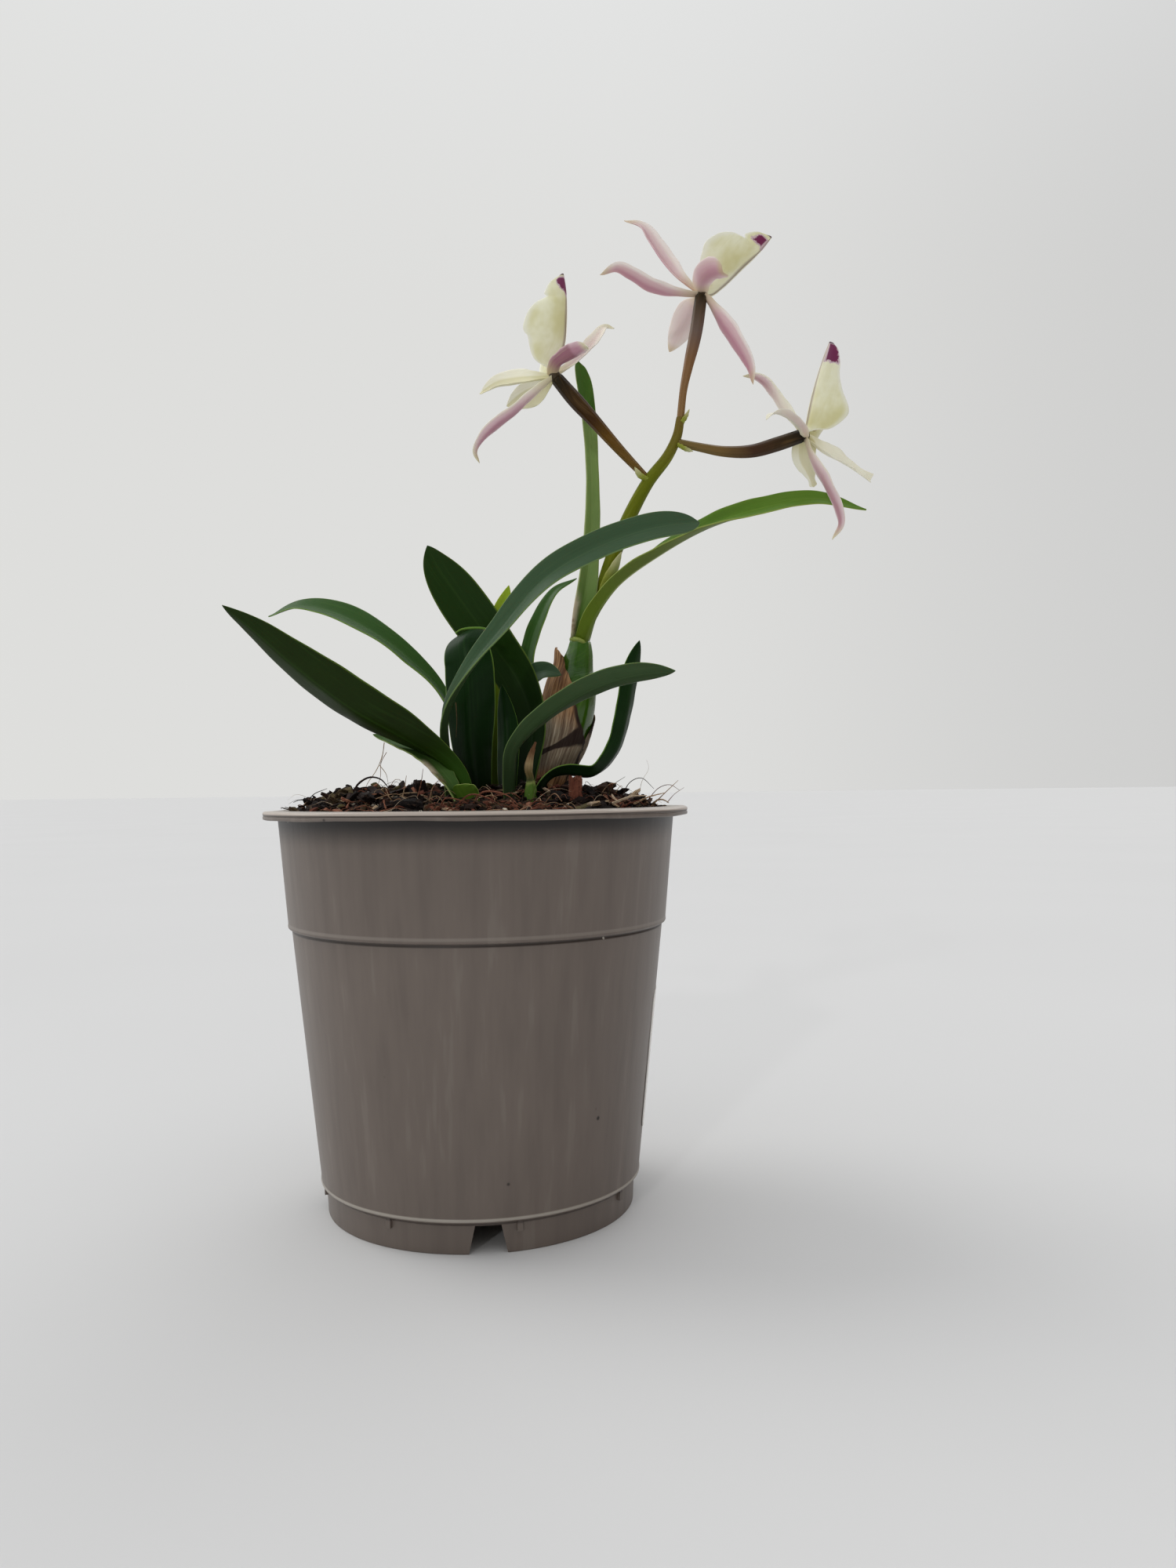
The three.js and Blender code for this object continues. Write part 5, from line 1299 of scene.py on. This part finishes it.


# Plant
# Leaf skins: the slot, the material's name, the colours of the upper side, under side, margin, veins and
# foot, and whatever else one has of its own. The near-black feet of the tall, deep, mid, blue and lime
# skins are painted shade deep in the clump, and the near-black upper side of the cup is painted shade
# inside it.
LEAF_SKINS = {
    "dark": ("leaf_dark", "leaf_dark_green", (25, 51, 9), (26, 40, 5), (92, 120, 48), (46, 74, 24),
             (50, 88, 20), {"gloss": 0.4}),
    "tall": ("leaf_dark", "leaf_tall_green", (25, 51, 9), (26, 40, 5), (92, 120, 48), (46, 74, 24),
             (8, 30, 4), {"gloss": 0.4, "reach_up": 0.62}),
    "deep": ("leaf_dark", "leaf_deep_green", (20, 46, 11), (12, 40, 10), (112, 152, 62), (32, 66, 22),
             (9, 22, 5), {"gloss": 0.36, "reach_up": 0.55}),
    "mid": ("leaf_dark", "leaf_mid_green", (46, 82, 28), (44, 72, 18), (128, 160, 72), (70, 108, 42),
            (18, 36, 8), {"gloss": 0.38, "reach_up": 0.42}),
    "blue": ("leaf_blue", "leaf_blue_green", (55, 81, 55), (56, 78, 46), (116, 142, 84), (78, 102, 68),
             (28, 46, 18), {"reach_up": 0.36}),
    "fresh": ("leaf_fresh", "leaf_front_green", (60, 92, 40), (56, 86, 34), (160, 178, 110), (92, 122, 60),
              (62, 94, 30), {"dry": (-1, 0.36, 0.17)}),
    # The cup's near-black upper side is painted shade inside the sheath's cup
    "cup": ("leaf_fresh", "sheath_green", (20, 30, 8), (78, 112, 34), (168, 188, 104), (100, 130, 46),
            (66, 94, 26), {}),
    "lime": ("leaf_fresh", "leaf_lime_tip", (150, 178, 40), (60, 92, 26), (180, 196, 80), (126, 156, 44),
             (24, 44, 10), {"gloss": 0.45, "reach_up": 0.9}),
    "grey": ("leaf_fresh", "leaf_grey_green", (120, 148, 80), (122, 146, 82), (172, 186, 134),
             (148, 170, 108), (84, 122, 36), {"gloss": 0.5, "reach_up": 0.24, 
                                              "crown": ((50, 92, 16), 0.74, 0.83),
                                              "dry": (-1, 0.08, 0.11)}),
    "bright": ("leaf_fresh", "leaf_bright_green", (84, 124, 34), (92, 104, 48), (158, 176, 92),
               (122, 150, 62), (92, 114, 20), {"gloss": 0.4, "rib": (188, 200, 138)}),
}
# The pale margin that runs over the bent top of the front leaf, and how its skin reads it
BENT_MARGIN = {"spine": [[-3.9, -19.6, 159.5], [-2.3, -19.6, 160.4], [0.8, -19.6, 160.8],
                         [3.9, -19.6, 160.6], [5.8, -19.6, 159.8], [7.5, -19.6, 158.6]],
               "radii": [0.18, 0.3, 0.32, 0.3, 0.2], "place": (1.0, 0.8, 1.0)}


def leaf_skins():
    return {key: (slot, leaf_skin(*colours, **own)) for key, (slot, *colours, own) in LEAF_SKINS.items()}


def build_leaves(skins):
    for seed, (name, shape) in enumerate(LEAVES.items(), 1):
        form = blade(Form(), shape, 84, 32, 0.85, keel=0.45, wave=shape["wave"],
                     waves=2.5 + seed % 3, seed=seed)
        if name == "leaf_centre_front":
            tube(form, BENT_MARGIN["spine"], BENT_MARGIN["radii"], 30, 10)
            form.place[-1][:] = BENT_MARGIN["place"]
        slot, skin = skins[shape["skin"]]
        piece(name + "_blade", form, skin, name)


SHEATH = {
    "foot": 0.03, "top": 0.955, "rows": 90, "columns": 90,
    # How far it reaches from the left of the bulb, in degrees, at shares of the bulb's height
    "before": ((0, 150), (0.4, 150), (0.47, 124), (0.55, 106), (0.62, 98), (0.71, 84), (0.78, 70),
               (0.9, 34), (0.955, 8)),
    "behind": ((0, 212), (0.43, 212), (0.48, 200), (0.56, 178), (0.62, 150), (0.7, 118), (0.8, 96),
               (0.9, 56), (0.955, 16)),
}


def paper_sheath_form():
    """The dry sheath: a thin shell round the left side of the bulb and all of its foot."""
    spine = Spine(MAIN_BULB["spine"])
    rows, columns = SHEATH["rows"], SHEATH["columns"]
    u = np.linspace(SHEATH["foot"], SHEATH["top"], rows + 1)
    middle, heading = spine.at(u), spine.heading(u)
    radius = spread(MAIN_BULB["radii"], u)
    out = np.array([-1.0, -0.1, 0])
    left = unit(out - heading * (heading @ out)[:, None])
    front = np.cross(heading, left)
    before, behind = (
        np.interp(u, *zip(*SHEATH[edge])) + [6 * noise.noise(Vector((v * 22, row, 1.5))) for v in u]
        for edge, row in (("before", 9), ("behind", 4)))
    share = np.linspace(0, 1, columns + 1)
    angle = np.radians(-behind[:, None] + (behind + before)[:, None] * share)
    pleat = 0.1 * np.sin(angle * 19 + 2 * np.sin(u[:, None] * 9)) + 0.06 * np.sin(angle * 43)
    gape = 2.8 * smoothstep(u, 0.76, SHEATH["top"])[:, None]
    skins = []
    for lift in (0.4, 0.7):
        reach = (radius[:, None] + lift + pleat + gape)[..., None]
        skins.append(middle[:, None] + (left[:, None] * np.cos(angle)[..., None]
                                        + front[:, None] * np.sin(angle)[..., None]) * reach)
    points = np.concatenate([skin.reshape(-1, 3) for skin in skins])
    along = np.repeat(u, columns + 1)
    way = np.degrees(angle).ravel()
    rising = smoothstep(way, 30, 150)
    stain = 0.02 + 0.06 * smoothstep(way, 60, 140)
    border = smoothstep(np.abs(along - 0.27 - 0.2 * rising), stain * 1.5, stain * 0.4)
    edge = smoothstep(np.tile(share, rows + 1), 0.94, 1.0) * smoothstep(along, 0.8, 0.5)
    edge = np.maximum(edge, smoothstep(-way, 150, 200) * smoothstep(along, 0.4, 0.5))
    place = np.stack([np.tile(share * 2 - 1, rows + 1), along, along * 0 + 0.5], axis=-1)
    reach = np.stack([way * 0.12 * MM, along * spine.length * MM, along * 0], axis=-1)
    form = Form().add(points, skin_faces(rows, columns, len(points) // 2), np.tile(place, (2, 1)),
                      np.tile(reach, (2, 1)))
    form.tone = [np.tile(np.maximum(border, edge), 2)]
    return form


# Colours of the stems, from foot to top
BULB_STAGES = ((0, (66, 90, 20)), (0.5, (58, 94, 14)), (0.8, (46, 86, 14)), (0.96, (62, 104, 24)))
RING_STAGES = ((0, (128, 146, 58)), (1, (150, 166, 76)))
SHOOT_STAGES = ((0, (76, 106, 36)), (0.36, (84, 118, 40)), (0.4, (140, 156, 84)), (0.44, (60, 70, 28)),
                (0.54, (112, 96, 58)), (0.68, (176, 152, 112)), (0.86, (120, 84, 56)))
SPIKE_STAGES = ((0, (114, 126, 14)), (0.3, (100, 110, 4)), (0.75, (102, 110, 4)), (1, (112, 92, 38)))
COLUMN_STAGES = ((0, (196, 186, 140)), (1, (226, 220, 192)))


def stem(shape, *steps_and_sides, **ridges):
    return tube(Form(), shape["spine"], shape["radii"], *steps_and_sides, **ridges)


def build_bulbs(skins):
    green = stem_skin("bulb_skin", BULB_STAGES, (92, 132, 40), 0.12, 0.42)
    piece("flowering_bulb", stem(MAIN_BULB, 60, 48, ridges=7, ridge=0.12, dome=0.3), green,
          "pseudobulb_flowering")
    piece("back_bulb", stem(BACK_BULB, 50, 40, ridges=6, ridge=0.2, dome=0.4), green, "pseudobulb_back")
    ring_skin = stem_skin("ring_skin", RING_STAGES, (168, 182, 100), 0.4)
    piece("bulb_ring", stem(RING, 8, 40, dome=0.25), ring_skin)
    piece("papery_sheath", paper_sheath_form(), sheath_skin(), "bulb_sheath", crease=70)
    shoot = stem_skin("shoot_skin", SHOOT_STAGES, (170, 166, 120), 0.5, 0.15)
    piece("young_shoot_skin", stem(YOUNG_SHOOT, 60, 28, ridges=5, ridge=0.16), shoot, "young_shoot")
    form = blade(Form(), FRONT_SHEATH, 30, 32, 0.9, crease=0.5, wave=0.15, seed=3)
    slot, skin = skins["cup"]
    piece("front_sheath_cup", form, skin, "sheath_front")


def build_spike():
    skin = stem_skin("spike_skin", SPIKE_STAGES, (146, 152, 44), 0.36, 0.14, bract=(148, 156, 60))
    form = stem(SPIKE, 90, 28, ridges=5, ridge=0.06)
    for index, bract in enumerate(BRACTS):
        blade(form, bract, 30, 16, 0.5, seed=index, wave=0.1, crease=0.4, tone=1.0)
    piece("flower_spike_stalk", form, skin, "flower_spike")


def build_ovaries():
    for index, (name, shape) in enumerate(OVARIES.items()):
        skin = stem_skin(name + "_skin", shape["stages"], (120, 92, 52), 0.38, 0.14)
        form = stem(shape, 60, 30, ridges=6, ridge=0.1, seed=index)
        piece(name + "_stalk", form, skin, name)


# Blooms
RECEPTACLE = {"radius": 1.7, "lip_root": 2.1, "rings": 10, "sides": 20, "tone": -1.0}
LIP_FOLD = [78, 80]
COLUMN_RADII = [1.1, 1.2, 1.5, 1.6, 1.1]


def receptacle(form, centre):
    rise = np.linspace(-math.pi / 2, math.pi / 2, RECEPTACLE["rings"])[1:-1, None]
    points = round_at(np.cos(rise), circle(RECEPTACLE["sides"]), np.sin(rise)).reshape(-1, 3)
    form.add(points * RECEPTACLE["radius"] + np.array(centre), tube_faces(len(rise), RECEPTACLE["sides"]),
             tone=RECEPTACLE["tone"])


def petals_form(bloom, seed):
    form = Form()
    receptacle(form, bloom["heart"])
    for number, tepal in enumerate(bloom["tepals"]):
        shape = {**TEPAL, **tepal, "spine": [bloom["heart"], *tepal["spine"]]}
        blade(form, shape, 52, 28, 0.5, keel=0.15, wave=shape["wave"], waves=2.2, seed=seed + number,
              crease=0.3, tone=shape["blush"], lean=shape["lean"])
    return form


def lip_form(bloom, seed):
    lip = bloom["lip"]
    heart, first = np.array(bloom["heart"], float), np.array(lip["spine"][0], float)
    claw = heart + unit(first - heart) * RECEPTACLE["lip_root"]
    shape = {**lip, "spine": [claw.tolist(), *lip["spine"]], "fold": LIP_FOLD}
    return blade(Form(), shape, 90, 48, 0.45, wave=0.05, waves=3.4, seed=seed, crease=0.3)


def build_blooms():
    column_skin = stem_skin("column_skin", COLUMN_STAGES, (176, 140, 130), 0.4)
    for index, (name, bloom) in enumerate(BLOOMS.items()):
        bloom_name = "bloom_" + name
        piece(bloom_name + "_petals", petals_form(bloom, index * 5),
              petal_skin("tepal_" + name, *bloom["tints"]), bloom_name + "_tepals")
        piece(bloom_name + "_labellum", lip_form(bloom, index + 2), lip_skin("lip_" + name, bloom["mark"]),
              bloom_name + "_lip")
        piece(bloom_name + "_column_skin", tube(Form(), bloom["column"], COLUMN_RADII, 24, 22), column_skin,
              bloom_name + "_column")


# Studio
# Broad, even lights: the direction that each comes from, its strength, softness in degrees and colour
WINDOWS = {
    "window_left": ((-0.8, 0.35, 0.9), 0.75, 35, (1.0, 0.99, 0.97)),
    "window_back": ((0.45, 0.9, 0.7), 0.35, 50, (1.0, 1.0, 1.0)),
    "window_front": ((-0.3, -0.85, 0.35), 0.3, 3, (1.0, 1.0, 1.0)),
}
FLOOR_REACH = 40000.0
CAMERA = {"at": (0.03166, -0.33963, 0.11643), "pitch": 0.005, "roll": -0.0113, "focal_px": 1503.0,
          "long_side_px": 2000.0, "sensor": 36.0, "nearest": 0.01}


def build_windows():
    for name, (towards, strength, softness, colour) in WINDOWS.items():
        data = bpy.data.lights.new(name, "SUN")
        data.energy, data.angle, data.color = strength, math.radians(softness), colour
        show(name, data).rotation_euler = (-Vector(towards)).to_track_quat("-Z", "Y").to_euler()


def build_floor():
    made = Surface("studio_floor", 0.9, Specular_IOR_Level=0.2)
    cloud = made.noise(made.node("TexCoord").outputs["Object"], 3, 2)
    skin = made.finish(made.mix(cloud, (215, 215, 215), (219, 219, 219)))
    reach = FLOOR_REACH
    points = [(-reach, -reach, 0), (reach, -reach, 0), (reach, reach, 0), (-reach, reach, 0)]
    mesh = mesh_of("floor", Form().add(points, [(0, 1, 2, 3)]))
    mesh.materials.append(skin)
    floor = show("floor", mesh)


def pale_room():
    """The surroundings: bright behind, above and on the left, dimmer in front, and browner on the right."""
    world = bpy.data.worlds.new("pale_room")
    world.use_nodes = True
    room = Pattern(world.node_tree)
    x, y, z = room.split(room.node("TexCoord").outputs["Generated"])
    colour = room.mix(room.band(y, 0.3, -0.7), (222, 222, 220), (166, 164, 160))
    colour = room.lay(colour, (255, 255, 255), 0.5, room.band(x, -0.4, -0.9))
    colour = room.mix(room.band(x, 0.0, 0.5), colour, room.mix(1.0, colour, (238, 238, 239), "MULTIPLY"))
    colour = room.mix(room.band(x, 0.42, 0.8), colour, (138, 126, 118))
    colour = room.mix(room.band(z, 0.35, 0.9), colour, (236, 238, 240))
    backdrop = room.nodes["Background"]
    room.put(backdrop.inputs["Color"], colour)
    backdrop.inputs["Strength"].default_value = 1.0
    bpy.context.scene.world = world


def build_studio():
    bpy.context.scene.view_settings.view_transform = "Standard"
    pale_room()
    build_floor()
    build_windows()


def build_camera():
    data = bpy.data.cameras.new("photo_view")
    data.sensor_width = CAMERA["sensor"]
    data.lens = CAMERA["focal_px"] / CAMERA["long_side_px"] * CAMERA["sensor"]
    data.clip_start = CAMERA["nearest"]
    ahead = Vector((0, math.cos(CAMERA["pitch"]), math.sin(CAMERA["pitch"])))
    right, up = Vector((1, 0, 0)), Vector((0, -ahead.z, ahead.y))
    turn, tilt = math.cos(CAMERA["roll"]), math.sin(CAMERA["roll"])
    right, up = right * turn + up * tilt, up * turn - right * tilt
    camera = show("photo_view", data)
    facing = Matrix((right, up, -ahead)).transposed().to_4x4()
    camera.matrix_world = Matrix.Translation(CAMERA["at"]) @ facing
    bpy.context.scene.camera = camera


bark = bark_skin()
leaf_materials = leaf_skins()
build_pot()
build_label()
build_mix(bark)
build_accents(bark)
build_leaves(leaf_materials)
build_bulbs(leaf_materials)
build_spike()
build_ovaries()
build_blooms()
build_studio()
build_camera()
